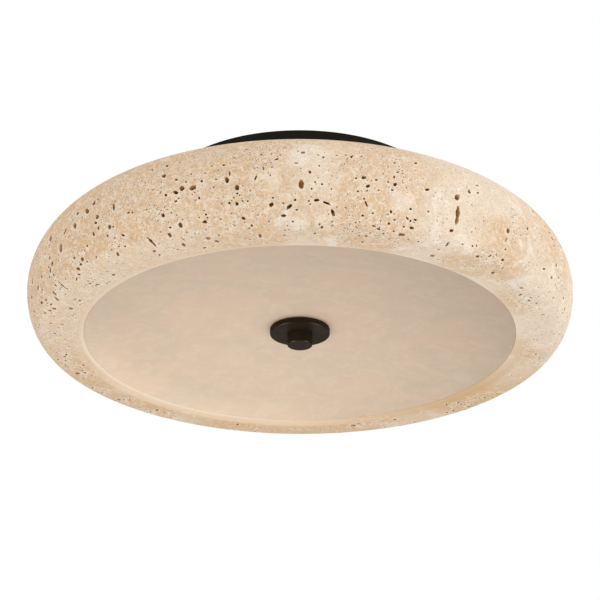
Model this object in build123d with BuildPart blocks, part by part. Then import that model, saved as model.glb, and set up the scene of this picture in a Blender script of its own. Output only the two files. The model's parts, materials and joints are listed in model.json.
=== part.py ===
"""Flush ceiling light: a turned travertine ring shade under a black canopy pan.

The origin is on the ceiling plane, on the lamp's axis, with +Z up into the ceiling.
All sizes are in millimetres.
"""
import os
from math import cos, radians, sin, sqrt

from build123d import *

os.makedirs("parts", exist_ok=True)

# Stone shade
stone_diameter = 457.0
upper_round_width = 56.0
upper_round_height = 54.0
lower_round_width = 22.0
lower_round_height = 37.0
opening_diameter = 360.0
opening_edge_round = 0.8
border_width = 11.5
border_rise = 1.0
web_thickness = 18.0
ledge_width = 8.0
cavity_round = 8.0

# Canopy pan and its gasket
canopy_diameter = 235.0
canopy_height = 44.0
canopy_wall = 1.2
canopy_corner = 4.0
canopy_lap = 17.5
gasket_thickness = 1.0
gasket_width = 12.0
gasket_inset = 4.5

# Ceiling crossbar
crossbar_length = 150.0
crossbar_width = 22.0
crossbar_thickness = 2.5
crossbar_corner = 4.0
box_slot_spacing = 88.9
box_slot_width = 4.8
box_slot_length = 14.0
hanger_spacing = 124.0
ground_screw_y = 5.0

# Threaded fasteners
bolt_diameter = 5.0
bolt_hole = 5.4
bolt_across_flats = 8.0
bolt_head_height = 3.5
bolt_nut_height = 4.0
bolt_washer_diameter = 11.0
bolt_washer_thickness = 1.0
bolt_end = 1.6
small_screw_diameter = 3.5
small_head_diameter = 7.0
small_head_height = 2.2

# Lamp tray and the bolts that clamp the stone
tray_lap = 30.0
tray_thickness = 1.5
tray_gasket_inset = 2.0
tray_hole_inset = 1.0
crown_rise = 6.0
crown_round = 2.5
crown_clearance = 7.0
clamp_inset = 13.0
spacer_diameter = 10.0

# Centre rod
rod_diameter = 10.0
rod_bore = 6.0
rod_hole = 10.4
rod_nut_across_flats = 14.0
rod_nut_height = 4.0
rod_washer_diameter = 19.0
rod_washer_thickness = 1.0
stop_washer_diameter = 30.0
stop_washer_thickness = 1.5

# Diffuser dish
dish_clearance = 0.3
dish_reveal = 1.5
dish_rise = 9.3
dish_thickness = 4.0
dish_flat_radius = 95.0
dish_edge_round = 0.3
dish_hole = 11.0
seat_felt_inset = 0.5

# Finial
finial_washer_diameter = 44.0
finial_washer_thickness = 0.8
disc_diameter = 50.0
disc_thickness = 4.6
disc_edge = 0.4
knob_diameter = 20.8
knob_length = 10.3
knob_edge = 0.5
knob_bore = 10.6
knob_bore_depth = 8.0
thread_engagement = 7.0

# Lampholders and bulbs
lamp_count = 3
first_lamp_angle = 90.0
holder_rear = 34.0
holder_body_diameter = 22.0
holder_body_length = 14.0
holder_skirt_diameter = 26.0
holder_skirt_length = 26.0
holder_bore = 15.0
holder_bore_depth = 25.0
spigot_diameter = 9.6
spigot_length = 9.0
spigot_nut_across_flats = 15.0
spigot_nut_height = 4.0
bracket_width = 22.0
bracket_thickness = 1.5
bracket_foot = 20.0
bracket_bend = 1.0
bracket_screw_pitch = 12.0
bracket_screw_tip = 2.0
bulb_diameter = 45.0
bulb_tray_gap = 4.0
bulb_globe_offset = 33.0
bulb_shoulder_angle = 50.0
bulb_neck_diameter = 18.0
bulb_cap_diameter = 14.0
bulb_cap_depth = 23.0
bulb_cap_show = 3.0
bulb_contact_diameter = 7.0
bulb_contact_length = 2.5

# Wiring
lead_diameter = 4.0
lead_clearance = 0.2
lead_offset = 18.0
lead_lower_bend = 8.0
lead_upper_bend = 5.0
grommet_diameter = 10.0
grommet_neck = 7.2
grommet_flange = 1.2
sheet_hole = 7.4
terminal_y = 52.0
terminal_depth = 20.0
terminal_height = 15.0
terminal_ear = 9.0
terminal_ear_height = 4.0
terminal_ear_depth = 12.0
terminal_entry_depth = 5.0
terminal_entry_height = 9.0
terminal_screw_diameter = 4.0
terminal_screw_pitch = 10.0
terminal_screw_recess = 2.0
terminal_screw_height = 1.5

# Heights, from the ceiling plane down
pan_floor_bottom = -canopy_height
pan_floor_top = pan_floor_bottom + canopy_wall
stone_top = pan_floor_bottom - gasket_thickness
equator = stone_top - upper_round_height
lip = equator - lower_round_height
web_bottom = stone_top - web_thickness
tray_top = web_bottom - gasket_thickness
tray_bottom = tray_top - tray_thickness
crown_top = tray_top + crown_rise
crown_bottom = crown_top - tray_thickness
lamp_height = tray_bottom - bulb_tray_gap - bulb_diameter / 2
border_edge = lip + border_rise
dish_edge = lip + dish_reveal
dish_centre = dish_edge + dish_rise
dish_centre_top = dish_centre + dish_thickness
disc_top = dish_centre - finial_washer_thickness
disc_bottom = disc_top - disc_thickness
knob_bottom = disc_bottom - knob_length
rod_bottom = disc_bottom - thread_engagement
rod_top = crown_top + rod_washer_thickness + rod_nut_height
terminal_entry = pan_floor_top + terminal_entry_height

# Radii and places that follow from the sizes above
stone_radius = stone_diameter / 2
opening_radius = opening_diameter / 2
cavity_radius = opening_radius - ledge_width
canopy_radius = canopy_diameter / 2
top_hole_radius = canopy_radius - canopy_lap
tray_radius = top_hole_radius + tray_lap
crown_radius = top_hole_radius - crown_clearance
clamp_radius = crown_radius - clamp_inset
gasket_radius = canopy_radius - gasket_inset
dish_radius = opening_radius - dish_clearance
dish_run = dish_radius - dish_flat_radius
dish_bend = (dish_run**2 + dish_rise**2) / (2 * dish_rise)
dish_bend_centre = dish_centre - dish_bend
seat_run = cavity_radius - dish_flat_radius
dish_seat = dish_bend_centre + sqrt((dish_bend + dish_thickness) ** 2 - seat_run**2)
shoulder = dish_seat + gasket_thickness
holder_mouth = holder_rear + holder_body_length + holder_skirt_length
lamp_angles = [first_lamp_angle + 360.0 / lamp_count * step for step in range(lamp_count)]
clamp_start = first_lamp_angle + 180.0 / lamp_count
lead_pitch = lead_offset * cos(radians(lamp_angles[-1]))
terminal_front = terminal_y - terminal_depth / 2
terminal_length = 3 * lead_pitch


def lamp_plane(angle):
    """Upright plane through one lampholder: x runs out along its axis, y runs up."""
    direction = Vector(1, 0, 0).rotate(Axis.Z, angle)
    sideways = Vector(0, -1, 0).rotate(Axis.Z, angle)
    return Plane(origin=(0, 0, lamp_height), x_dir=direction, z_dir=sideways)


def lamp_axis(angle):
    """Axis of one lampholder and its bulb, pointing away from the centre rod."""
    plane = lamp_plane(angle)
    return Axis(plane.origin, plane.x_dir)


def across_lamp(angle, distance):
    """Plane square to one lampholder's axis, at a distance from the centre rod."""
    direction = Vector(1, 0, 0).rotate(Axis.Z, angle)
    return Plane(origin=direction * distance + Vector(0, 0, lamp_height), z_dir=direction)


# Ceiling crossbar: the strap that takes the junction box's own two screws
with BuildPart() as ceiling_crossbar:
    with BuildSketch(Plane.XY.offset(-crossbar_thickness)):
        RectangleRounded(crossbar_length, crossbar_width, crossbar_corner)
        with Locations((-box_slot_spacing / 2, 0), (box_slot_spacing / 2, 0)):
            SlotOverall(box_slot_length, box_slot_width, mode=Mode.SUBTRACT)
        with Locations((-hanger_spacing / 2, 0), (hanger_spacing / 2, 0)):
            Circle(bolt_diameter / 2, mode=Mode.SUBTRACT)
        with Locations((0, ground_screw_y)):
            Circle(small_screw_diameter / 2, mode=Mode.SUBTRACT)
    extrude(amount=crossbar_thickness)
ceiling_crossbar.part.label = "ceiling_crossbar"
export_step(ceiling_crossbar.part, "parts/ceiling_crossbar.step")

# Ground screw: pan head under the crossbar
with BuildPart() as ground_screw:
    with BuildSketch(Plane.XY.offset(-crossbar_thickness - small_head_height)):
        with Locations((0, ground_screw_y)):
            Circle(small_head_diameter / 2)
    extrude(amount=small_head_height)
    with BuildSketch(Plane.XY.offset(-crossbar_thickness)):
        with Locations((0, ground_screw_y)):
            Circle(small_screw_diameter / 2)
    extrude(amount=crossbar_thickness)
ground_screw.part.label = "ground_screw"
export_step(ground_screw.part, "parts/ground_screw.step")

# Hanger studs: from the crossbar down through the pan floor and the tray's crown
hanger_nut_top = crown_bottom - bolt_washer_thickness
hanger_end = hanger_nut_top - bolt_nut_height - bolt_end
with BuildPart() as hanger_studs:
    with BuildSketch(Plane.XY.offset(hanger_end)):
        with Locations((-hanger_spacing / 2, 0), (hanger_spacing / 2, 0)):
            Circle(bolt_diameter / 2)
    extrude(amount=-hanger_end)
hanger_studs.part.label = "hanger_studs"
export_step(hanger_studs.part, "parts/hanger_studs.step")

# Lock nuts that hold the studs to the crossbar
with BuildPart() as stud_lock_nuts:
    with BuildSketch(Plane.XY.offset(-crossbar_thickness - bolt_nut_height)):
        with Locations((-hanger_spacing / 2, 0), (hanger_spacing / 2, 0)):
            RegularPolygon(bolt_across_flats / 2, 6, major_radius=False)
            Circle(bolt_diameter / 2, mode=Mode.SUBTRACT)
    extrude(amount=bolt_nut_height)
stud_lock_nuts.part.label = "stud_lock_nuts"
export_step(stud_lock_nuts.part, "parts/stud_lock_nuts.step")

# Washers and nuts that carry the whole light under the crown
with BuildPart() as hanger_washers:
    with BuildSketch(Plane.XY.offset(hanger_nut_top)):
        with Locations((-hanger_spacing / 2, 0), (hanger_spacing / 2, 0)):
            Circle(bolt_washer_diameter / 2)
            Circle(bolt_hole / 2, mode=Mode.SUBTRACT)
    extrude(amount=bolt_washer_thickness)
hanger_washers.part.label = "hanger_washers"
export_step(hanger_washers.part, "parts/hanger_washers.step")

with BuildPart() as hanger_nuts:
    with BuildSketch(Plane.XY.offset(hanger_nut_top - bolt_nut_height)):
        with Locations((-hanger_spacing / 2, 0), (hanger_spacing / 2, 0)):
            RegularPolygon(bolt_across_flats / 2, 6, major_radius=False)
            Circle(bolt_diameter / 2, mode=Mode.SUBTRACT)
    extrude(amount=bolt_nut_height)
hanger_nuts.part.label = "hanger_nuts"
export_step(hanger_nuts.part, "parts/hanger_nuts.step")

# Canopy pan: a drawn steel cup, open to the ceiling
with BuildPart() as canopy_pan:
    with BuildSketch(Plane.XZ):
        with BuildLine():
            FilletPolyline(
                (0, pan_floor_bottom),
                (canopy_radius, pan_floor_bottom),
                (canopy_radius, 0),
                (canopy_radius - canopy_wall, 0),
                (canopy_radius - canopy_wall, pan_floor_top),
                (0, pan_floor_top),
                radius=[canopy_corner, 0, 0, canopy_corner - canopy_wall],
            )
            Line((0, pan_floor_top), (0, pan_floor_bottom))
        make_face()
    revolve(axis=Axis.Z)
    with BuildSketch(Plane.XY.offset(pan_floor_bottom)):
        with Locations((-hanger_spacing / 2, 0), (hanger_spacing / 2, 0)):
            Circle(bolt_hole / 2)
        with PolarLocations(clamp_radius, lamp_count, start_angle=clamp_start):
            Circle(bolt_hole / 2)
        with PolarLocations(lead_offset, lamp_count, start_angle=first_lamp_angle):
            Circle(sheet_hole / 2)
        with Locations((0, terminal_y)):
            with GridLocations(terminal_length + terminal_ear, 0, 2, 1):
                Circle(small_screw_diameter / 2)
    extrude(amount=canopy_wall, mode=Mode.SUBTRACT)
canopy_pan.part.label = "canopy_pan"
export_step(canopy_pan.part, "parts/canopy_pan.step")

# Foam gasket between the pan floor and the stone's top
with BuildPart() as canopy_gasket:
    with BuildSketch(Plane.XY.offset(stone_top)):
        Circle(gasket_radius)
        Circle(gasket_radius - gasket_width, mode=Mode.SUBTRACT)
    extrude(amount=gasket_thickness)
canopy_gasket.part.label = "canopy_gasket"
export_step(canopy_gasket.part, "parts/canopy_gasket.step")

# Stone shade: web with the top hole, cavity, rebate, bevelled border, rolled outside
with BuildPart() as stone_shade:
    with BuildSketch(Plane.XZ):
        with BuildLine():
            EllipticalCenterArc(
                (stone_radius - upper_round_width, equator),
                upper_round_width,
                upper_round_height,
                start_angle=0,
                arc_size=90,
            )
            Polyline(
                (stone_radius - upper_round_width, stone_top),
                (top_hole_radius, stone_top),
                (top_hole_radius, web_bottom),
                (cavity_radius - cavity_round, web_bottom),
            )
            RadiusArc(
                (cavity_radius - cavity_round, web_bottom),
                (cavity_radius, web_bottom - cavity_round),
                cavity_round,
            )
            Polyline(
                (cavity_radius, web_bottom - cavity_round),
                (cavity_radius, shoulder),
                (opening_radius, shoulder),
                (opening_radius, border_edge + opening_edge_round),
            )
            RadiusArc(
                (opening_radius, border_edge + opening_edge_round),
                (opening_radius + opening_edge_round, border_edge),
                -opening_edge_round,
            )
            Polyline(
                (opening_radius + opening_edge_round, border_edge),
                (opening_radius + border_width, lip),
                (stone_radius - lower_round_width, lip),
            )
            EllipticalCenterArc(
                (stone_radius - lower_round_width, equator),
                lower_round_width,
                lower_round_height,
                start_angle=270,
                arc_size=90,
            )
        make_face()
    revolve(axis=Axis.Z)
stone_shade.part.label = "stone_shade"
export_step(stone_shade.part, "parts/stone_shade.step")

# Felt gasket between the stone's web and the lamp tray
with BuildPart() as tray_gasket:
    with BuildSketch(Plane.XY.offset(tray_top)):
        Circle(tray_radius - tray_gasket_inset)
        Circle(top_hole_radius + tray_hole_inset, mode=Mode.SUBTRACT)
    extrude(amount=gasket_thickness)
tray_gasket.part.label = "tray_gasket"
export_step(tray_gasket.part, "parts/tray_gasket.step")

# Lamp tray: pressed steel plate whose crown stands up into the stone's top hole
crown_corner = crown_round + tray_thickness
with BuildPart() as lamp_tray:
    with BuildSketch(Plane.XZ):
        with BuildLine():
            FilletPolyline(
                (0, crown_top),
                (crown_radius, crown_top),
                (crown_radius, tray_top),
                (tray_radius, tray_top),
                (tray_radius, tray_bottom),
                (crown_radius - tray_thickness, tray_bottom),
                (crown_radius - tray_thickness, crown_bottom),
                (0, crown_bottom),
                radius=[crown_corner, crown_round, 0, 0, crown_corner, crown_round],
            )
            Line((0, crown_bottom), (0, crown_top))
        make_face()
    revolve(axis=Axis.Z)
    with BuildSketch(Plane.XY.offset(crown_bottom)):
        Circle(rod_hole / 2)
        with Locations((-hanger_spacing / 2, 0), (hanger_spacing / 2, 0)):
            Circle(bolt_hole / 2)
        with PolarLocations(clamp_radius, lamp_count, start_angle=clamp_start):
            Circle(bolt_hole / 2)
        with PolarLocations(lead_offset, lamp_count, start_angle=first_lamp_angle):
            Circle(sheet_hole / 2)
        with PolarLocations(
            holder_rear + bracket_foot / 2, lamp_count, start_angle=first_lamp_angle
        ):
            with GridLocations(0, bracket_screw_pitch, 1, 2):
                Circle(small_screw_diameter / 2)
    extrude(amount=tray_thickness, mode=Mode.SUBTRACT)
lamp_tray.part.label = "lamp_tray"
export_step(lamp_tray.part, "parts/lamp_tray.step")

# Clamp bolts, spacers and nuts: pan floor, stone and tray drawn together
clamp_end = pan_floor_top + bolt_nut_height + bolt_end
with BuildPart() as clamp_bolts:
    with BuildSketch(Plane.XY.offset(crown_bottom - bolt_head_height)):
        with PolarLocations(clamp_radius, lamp_count, start_angle=clamp_start):
            RegularPolygon(bolt_across_flats / 2, 6, major_radius=False)
    extrude(amount=bolt_head_height)
    with BuildSketch(Plane.XY.offset(crown_bottom)):
        with PolarLocations(clamp_radius, lamp_count, start_angle=clamp_start):
            Circle(bolt_diameter / 2)
    extrude(amount=clamp_end - crown_bottom)
clamp_bolts.part.label = "clamp_bolts"
export_step(clamp_bolts.part, "parts/clamp_bolts.step")

with BuildPart() as clamp_spacers:
    with BuildSketch(Plane.XY.offset(crown_top)):
        with PolarLocations(clamp_radius, lamp_count, start_angle=clamp_start):
            Circle(spacer_diameter / 2)
            Circle(bolt_hole / 2, mode=Mode.SUBTRACT)
    extrude(amount=pan_floor_bottom - crown_top)
clamp_spacers.part.label = "clamp_spacers"
export_step(clamp_spacers.part, "parts/clamp_spacers.step")

with BuildPart() as clamp_nuts:
    with BuildSketch(Plane.XY.offset(pan_floor_top)):
        with PolarLocations(clamp_radius, lamp_count, start_angle=clamp_start):
            RegularPolygon(bolt_across_flats / 2, 6, major_radius=False)
            Circle(bolt_diameter / 2, mode=Mode.SUBTRACT)
    extrude(amount=bolt_nut_height)
clamp_nuts.part.label = "clamp_nuts"
export_step(clamp_nuts.part, "parts/clamp_nuts.step")

# Centre rod: threaded tube from the crown down into the finial's knob
with BuildPart() as centre_rod:
    with BuildSketch(Plane.XY.offset(rod_bottom)):
        Circle(rod_diameter / 2)
        Circle(rod_bore / 2, mode=Mode.SUBTRACT)
    extrude(amount=rod_top - rod_bottom)
centre_rod.part.label = "centre_rod"
export_step(centre_rod.part, "parts/centre_rod.step")

# Washers and nuts above and below the crown
with BuildPart() as rod_washers:
    for washer_bottom in (crown_top, crown_bottom - rod_washer_thickness):
        with BuildSketch(Plane.XY.offset(washer_bottom)):
            Circle(rod_washer_diameter / 2)
            Circle(rod_hole / 2, mode=Mode.SUBTRACT)
        extrude(amount=rod_washer_thickness)
rod_washers.part.label = "rod_washers"
export_step(rod_washers.part, "parts/rod_washers.step")

lower_nut_bottom = crown_bottom - rod_washer_thickness - rod_nut_height
with BuildPart() as rod_nuts:
    for nut_bottom in (rod_top - rod_nut_height, lower_nut_bottom):
        with BuildSketch(Plane.XY.offset(nut_bottom)):
            RegularPolygon(rod_nut_across_flats / 2, 6, major_radius=False)
            Circle(rod_diameter / 2, mode=Mode.SUBTRACT)
        extrude(amount=rod_nut_height)
rod_nuts.part.label = "rod_nuts"
export_step(rod_nuts.part, "parts/rod_nuts.step")

# Stop nut and soft washer that the diffuser is drawn up against
with BuildPart() as stop_washer:
    with BuildSketch(Plane.XY.offset(dish_centre_top)):
        Circle(stop_washer_diameter / 2)
        Circle(rod_hole / 2, mode=Mode.SUBTRACT)
    extrude(amount=stop_washer_thickness)
stop_washer.part.label = "stop_washer"
export_step(stop_washer.part, "parts/stop_washer.step")

with BuildPart() as stop_nut:
    with BuildSketch(Plane.XY.offset(dish_centre_top + stop_washer_thickness)):
        RegularPolygon(rod_nut_across_flats / 2, 6, major_radius=False)
        Circle(rod_diameter / 2, mode=Mode.SUBTRACT)
    extrude(amount=rod_nut_height)
stop_nut.part.label = "stop_nut"
export_step(stop_nut.part, "parts/stop_nut.step")

# Felt ring on the stone's ledge, over the diffuser's rim
with BuildPart() as diffuser_gasket:
    with BuildSketch(Plane.XY.offset(dish_seat)):
        Circle(dish_radius - seat_felt_inset)
        Circle(cavity_radius + seat_felt_inset, mode=Mode.SUBTRACT)
    extrude(amount=gasket_thickness)
diffuser_gasket.part.label = "diffuser_gasket"
export_step(diffuser_gasket.part, "parts/diffuser_gasket.step")

# Diffuser: shallow opal dish, hollow from below, flat at its centre and on its seat
with BuildPart() as diffuser:
    with BuildSketch(Plane.XZ):
        with BuildLine():
            Line((dish_hole / 2, dish_centre), (dish_flat_radius, dish_centre))
            TangentArc(
                (dish_flat_radius, dish_centre), (dish_radius, dish_edge), tangent=(1, 0)
            )
            Polyline(
                (dish_radius, dish_edge),
                (dish_radius, dish_seat),
                (cavity_radius, dish_seat),
            )
            TangentArc(
                (dish_flat_radius, dish_centre_top),
                (cavity_radius, dish_seat),
                tangent=(1, 0),
            )
            Polyline(
                (dish_flat_radius, dish_centre_top),
                (dish_hole / 2, dish_centre_top),
                (dish_hole / 2, dish_centre),
            )
        make_face()
    revolve(axis=Axis.Z)
    circles = diffuser.edges().filter_by(GeomType.CIRCLE)
    fillet(circles.filter_by(lambda edge: abs(edge.radius - dish_radius) < 0.01), dish_edge_round)
diffuser.part.label = "diffuser"
export_step(diffuser.part, "parts/diffuser.step")

# Finial: soft washer, disc, and the knob that screws up the rod
with BuildPart() as finial_washer:
    with BuildSketch(Plane.XY.offset(disc_top)):
        Circle(finial_washer_diameter / 2)
        Circle(knob_bore / 2, mode=Mode.SUBTRACT)
    extrude(amount=finial_washer_thickness)
finial_washer.part.label = "finial_washer"
export_step(finial_washer.part, "parts/finial_washer.step")

with BuildPart() as finial_disc:
    with BuildSketch(Plane.XY.offset(disc_bottom)):
        Circle(disc_diameter / 2)
        Circle(knob_bore / 2, mode=Mode.SUBTRACT)
    extrude(amount=disc_thickness)
    fillet(finial_disc.edges().filter_by(GeomType.CIRCLE).sort_by(SortBy.RADIUS)[-2:], disc_edge)
finial_disc.part.label = "finial_disc"
export_step(finial_disc.part, "parts/finial_disc.step")

with BuildPart() as finial_knob:
    with BuildSketch(Plane.XY.offset(knob_bottom)):
        Circle(knob_diameter / 2)
    extrude(amount=knob_length)
    fillet(finial_knob.edges().filter_by(GeomType.CIRCLE).group_by(Axis.Z)[0], knob_edge)
    with BuildSketch(Plane.XY.offset(disc_bottom - knob_bore_depth)):
        Circle(knob_bore / 2)
    extrude(amount=knob_bore_depth, mode=Mode.SUBTRACT)
finial_knob.part.label = "finial_knob"
export_step(finial_knob.part, "parts/finial_knob.step")

# Lampholders: skirt, rear body and threaded spigot, one for each bulb
for number, angle in enumerate(lamp_angles, 1):
    skirt_start = holder_rear + holder_body_length
    with BuildPart() as lampholder:
        with BuildSketch(lamp_plane(angle)):
            with BuildLine():
                Polyline(
                    (holder_rear - spigot_length, lead_diameter / 2 + lead_clearance),
                    (holder_rear - spigot_length, spigot_diameter / 2),
                    (holder_rear, spigot_diameter / 2),
                    (holder_rear, holder_body_diameter / 2),
                    (skirt_start, holder_body_diameter / 2),
                    (skirt_start, holder_skirt_diameter / 2),
                    (holder_mouth, holder_skirt_diameter / 2),
                    (holder_mouth, holder_bore / 2),
                    (holder_mouth - holder_bore_depth, holder_bore / 2),
                    (holder_mouth - holder_bore_depth, 0),
                    (holder_rear, 0),
                    (holder_rear, lead_diameter / 2 + lead_clearance),
                    close=True,
                )
            make_face()
        revolve(axis=lamp_axis(angle))
    lampholder.part.label = f"lampholder_{number}"
    export_step(lampholder.part, f"parts/lampholder_{number}.step")

# Lampholder brackets: a leg behind the lampholder and a foot under the crown
for number, angle in enumerate(lamp_angles, 1):
    leg_top = crown_bottom - lamp_height
    leg_bottom = -holder_body_diameter / 2
    with BuildPart() as lampholder_bracket:
        with BuildSketch(lamp_plane(angle)):
            with BuildLine():
                FilletPolyline(
                    (holder_rear - bracket_thickness, leg_bottom),
                    (holder_rear - bracket_thickness, leg_top),
                    (holder_rear + bracket_foot, leg_top),
                    (holder_rear + bracket_foot, leg_top - bracket_thickness),
                    (holder_rear, leg_top - bracket_thickness),
                    (holder_rear, leg_bottom),
                    radius=[bracket_thickness + bracket_bend, 0, 0, bracket_bend],
                )
                Line((holder_rear, leg_bottom), (holder_rear - bracket_thickness, leg_bottom))
            make_face()
        extrude(amount=bracket_width / 2, both=True)
        with BuildSketch(across_lamp(angle, holder_rear)):
            Circle(spigot_diameter / 2)
        extrude(amount=-bracket_thickness, mode=Mode.SUBTRACT)
        with BuildSketch(Plane.XY.offset(crown_bottom - bracket_thickness)):
            with PolarLocations(holder_rear + bracket_foot / 2, 1, start_angle=angle):
                with GridLocations(0, bracket_screw_pitch, 1, 2):
                    Circle(small_screw_diameter / 2)
        extrude(amount=bracket_thickness, mode=Mode.SUBTRACT)
    lampholder_bracket.part.label = f"lampholder_bracket_{number}"
    export_step(lampholder_bracket.part, f"parts/lampholder_bracket_{number}.step")

# Ring nuts that draw each lampholder's spigot through its bracket
with BuildPart() as spigot_nuts:
    for angle in lamp_angles:
        nut_face = holder_rear - bracket_thickness
        with BuildSketch(across_lamp(angle, nut_face)):
            RegularPolygon(spigot_nut_across_flats / 2, 6, major_radius=False)
            Circle(spigot_diameter / 2, mode=Mode.SUBTRACT)
        extrude(amount=-spigot_nut_height)
spigot_nuts.part.label = "spigot_nuts"
export_step(spigot_nuts.part, "parts/spigot_nuts.step")

# Bracket screws: pan heads under the bracket feet, cut into the crown
foot_bottom = crown_bottom - bracket_thickness
screw_radius = holder_rear + bracket_foot / 2
with BuildPart() as bracket_screws:
    with BuildSketch(Plane.XY.offset(foot_bottom - small_head_height)):
        with PolarLocations(screw_radius, lamp_count, start_angle=first_lamp_angle):
            with GridLocations(0, bracket_screw_pitch, 1, 2):
                Circle(small_head_diameter / 2)
    extrude(amount=small_head_height)
    with BuildSketch(Plane.XY.offset(foot_bottom)):
        with PolarLocations(screw_radius, lamp_count, start_angle=first_lamp_angle):
            with GridLocations(0, bracket_screw_pitch, 1, 2):
                Circle(small_screw_diameter / 2)
    extrude(amount=crown_top - foot_bottom + bracket_screw_tip)
bracket_screws.part.label = "bracket_screws"
export_step(bracket_screws.part, "parts/bracket_screws.step")

# Bulbs: a metal cap in the lampholder and an opal globe on a short neck
globe_radius = bulb_diameter / 2
globe_centre = holder_mouth + bulb_globe_offset
neck_radius = bulb_neck_diameter / 2
neck_start = holder_mouth + bulb_cap_show
globe_join = globe_centre - globe_radius * cos(radians(bulb_shoulder_angle))
globe_join_radius = globe_radius * sin(radians(bulb_shoulder_angle))
cap_end = holder_mouth - bulb_cap_depth
for number, angle in enumerate(lamp_angles, 1):
    with BuildPart() as bulb_cap:
        with BuildSketch(lamp_plane(angle)):
            with BuildLine():
                Polyline(
                    (cap_end, 0),
                    (cap_end, bulb_contact_diameter / 2),
                    (cap_end + bulb_contact_length, bulb_cap_diameter / 2),
                    (neck_start, bulb_cap_diameter / 2),
                    (neck_start, 0),
                    close=True,
                )
            make_face()
        revolve(axis=lamp_axis(angle))
    bulb_cap.part.label = f"bulb_{number}_cap"
    export_step(bulb_cap.part, f"parts/bulb_{number}_cap.step")

    with BuildPart() as bulb_globe:
        with BuildSketch(lamp_plane(angle)):
            with BuildLine():
                Polyline(
                    (globe_centre + globe_radius, 0),
                    (neck_start, 0),
                    (neck_start, neck_radius),
                    (globe_join, globe_join_radius),
                )
                ThreePointArc(
                    (globe_join, globe_join_radius),
                    (globe_centre, globe_radius),
                    (globe_centre + globe_radius, 0),
                )
            make_face()
        revolve(axis=lamp_axis(angle))
    bulb_globe.part.label = f"bulb_{number}_globe"
    export_step(bulb_globe.part, f"parts/bulb_{number}_globe.step")

# Terminal block on the pan floor, with its screws
terminal_top = pan_floor_top + terminal_height
with BuildPart() as terminal_block:
    with BuildSketch(Plane.XY.offset(pan_floor_top)):
        with Locations((0, terminal_y)):
            Rectangle(terminal_length + 2 * terminal_ear, terminal_ear_depth)
            with GridLocations(terminal_length + terminal_ear, 0, 2, 1):
                Circle(small_screw_diameter / 2, mode=Mode.SUBTRACT)
    extrude(amount=terminal_ear_height)
    with BuildSketch(Plane.XY.offset(pan_floor_top)):
        with Locations((0, terminal_y)):
            Rectangle(terminal_length, terminal_depth)
    extrude(amount=terminal_height)
    with BuildSketch(Plane.XZ.offset(-terminal_front)):
        with Locations((0, terminal_entry)):
            with GridLocations(lead_pitch, 0, 3, 1):
                Circle(lead_diameter / 2 + lead_clearance)
    extrude(amount=-terminal_entry_depth, mode=Mode.SUBTRACT)
    with BuildSketch(Plane.XY.offset(terminal_top)):
        with Locations((0, terminal_y)):
            with GridLocations(lead_pitch, terminal_screw_pitch, 3, 2):
                Circle(terminal_screw_diameter / 2)
    extrude(amount=-terminal_screw_recess, mode=Mode.SUBTRACT)
terminal_block.part.label = "terminal_block"
export_step(terminal_block.part, "parts/terminal_block.step")

with BuildPart() as terminal_screws:
    with BuildSketch(Plane.XY.offset(terminal_top - terminal_screw_recess)):
        with Locations((0, terminal_y)):
            with GridLocations(lead_pitch, terminal_screw_pitch, 3, 2):
                Circle(terminal_screw_diameter / 2)
    extrude(amount=terminal_screw_height)
terminal_screws.part.label = "terminal_screws"
export_step(terminal_screws.part, "parts/terminal_screws.step")

ear_top = pan_floor_top + terminal_ear_height
with BuildPart() as ear_screws:
    with BuildSketch(Plane.XY.offset(ear_top)):
        with Locations((0, terminal_y)):
            with GridLocations(terminal_length + terminal_ear, 0, 2, 1):
                Circle(small_head_diameter / 2)
    extrude(amount=small_head_height)
    with BuildSketch(Plane.XY.offset(pan_floor_bottom)):
        with Locations((0, terminal_y)):
            with GridLocations(terminal_length + terminal_ear, 0, 2, 1):
                Circle(small_screw_diameter / 2)
    extrude(amount=ear_top - pan_floor_bottom)
ear_screws.part.label = "ear_screws"
export_step(ear_screws.part, "parts/ear_screws.step")

# Grommets where the lamp leads pass the crown and the pan floor
for name, sheet_bottom, sheet in (
    ("tray_grommets", crown_bottom, tray_thickness),
    ("pan_grommets", pan_floor_bottom, canopy_wall),
):
    with BuildPart() as grommets:
        for start, height, size in (
            (sheet_bottom - grommet_flange, grommet_flange, grommet_diameter),
            (sheet_bottom, sheet, grommet_neck),
            (sheet_bottom + sheet, grommet_flange, grommet_diameter),
        ):
            with BuildSketch(Plane.XY.offset(start)):
                with PolarLocations(lead_offset, lamp_count, start_angle=first_lamp_angle):
                    Circle(size / 2)
                    Circle(lead_diameter / 2 + lead_clearance, mode=Mode.SUBTRACT)
            extrude(amount=height)
    grommets.part.label = name
    export_step(grommets.part, f"parts/{name}.step")

# Lamp leads: from each spigot up past crown and pan floor, over to the terminal block
lead_start = holder_rear
lead_end = terminal_front + terminal_entry_depth
for number, angle in enumerate(lamp_angles, 1):
    outward = Vector(1, 0, 0).rotate(Axis.Z, angle)
    corner = outward * lead_offset
    with BuildPart() as lamp_lead:
        with BuildLine() as route:
            FilletPolyline(
                outward * lead_start + Vector(0, 0, lamp_height),
                corner + Vector(0, 0, lamp_height),
                corner + Vector(0, 0, terminal_entry),
                (corner.X, lead_end, terminal_entry),
                radius=[lead_lower_bend, lead_upper_bend],
            )
        with BuildSketch(across_lamp(angle, lead_start)):
            Circle(lead_diameter / 2)
        sweep(path=route.wires()[0])
    lamp_lead.part.label = f"lamp_lead_{number}"
    export_step(lamp_lead.part, f"parts/lamp_lead_{number}.step")
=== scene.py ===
"""Dresses a flush ceiling light: a pitted stone ring, an opal dish, a dark finial and a black canopy.

Sizes in the classes are in millimetres and angles in degrees unless a name says otherwise.
Meshes are in metres. The origin is on the ceiling plane, on the lamp's axis, with +Z up.
"""
import json
import logging
from dataclasses import dataclass, field, replace
from enum import Enum

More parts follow.
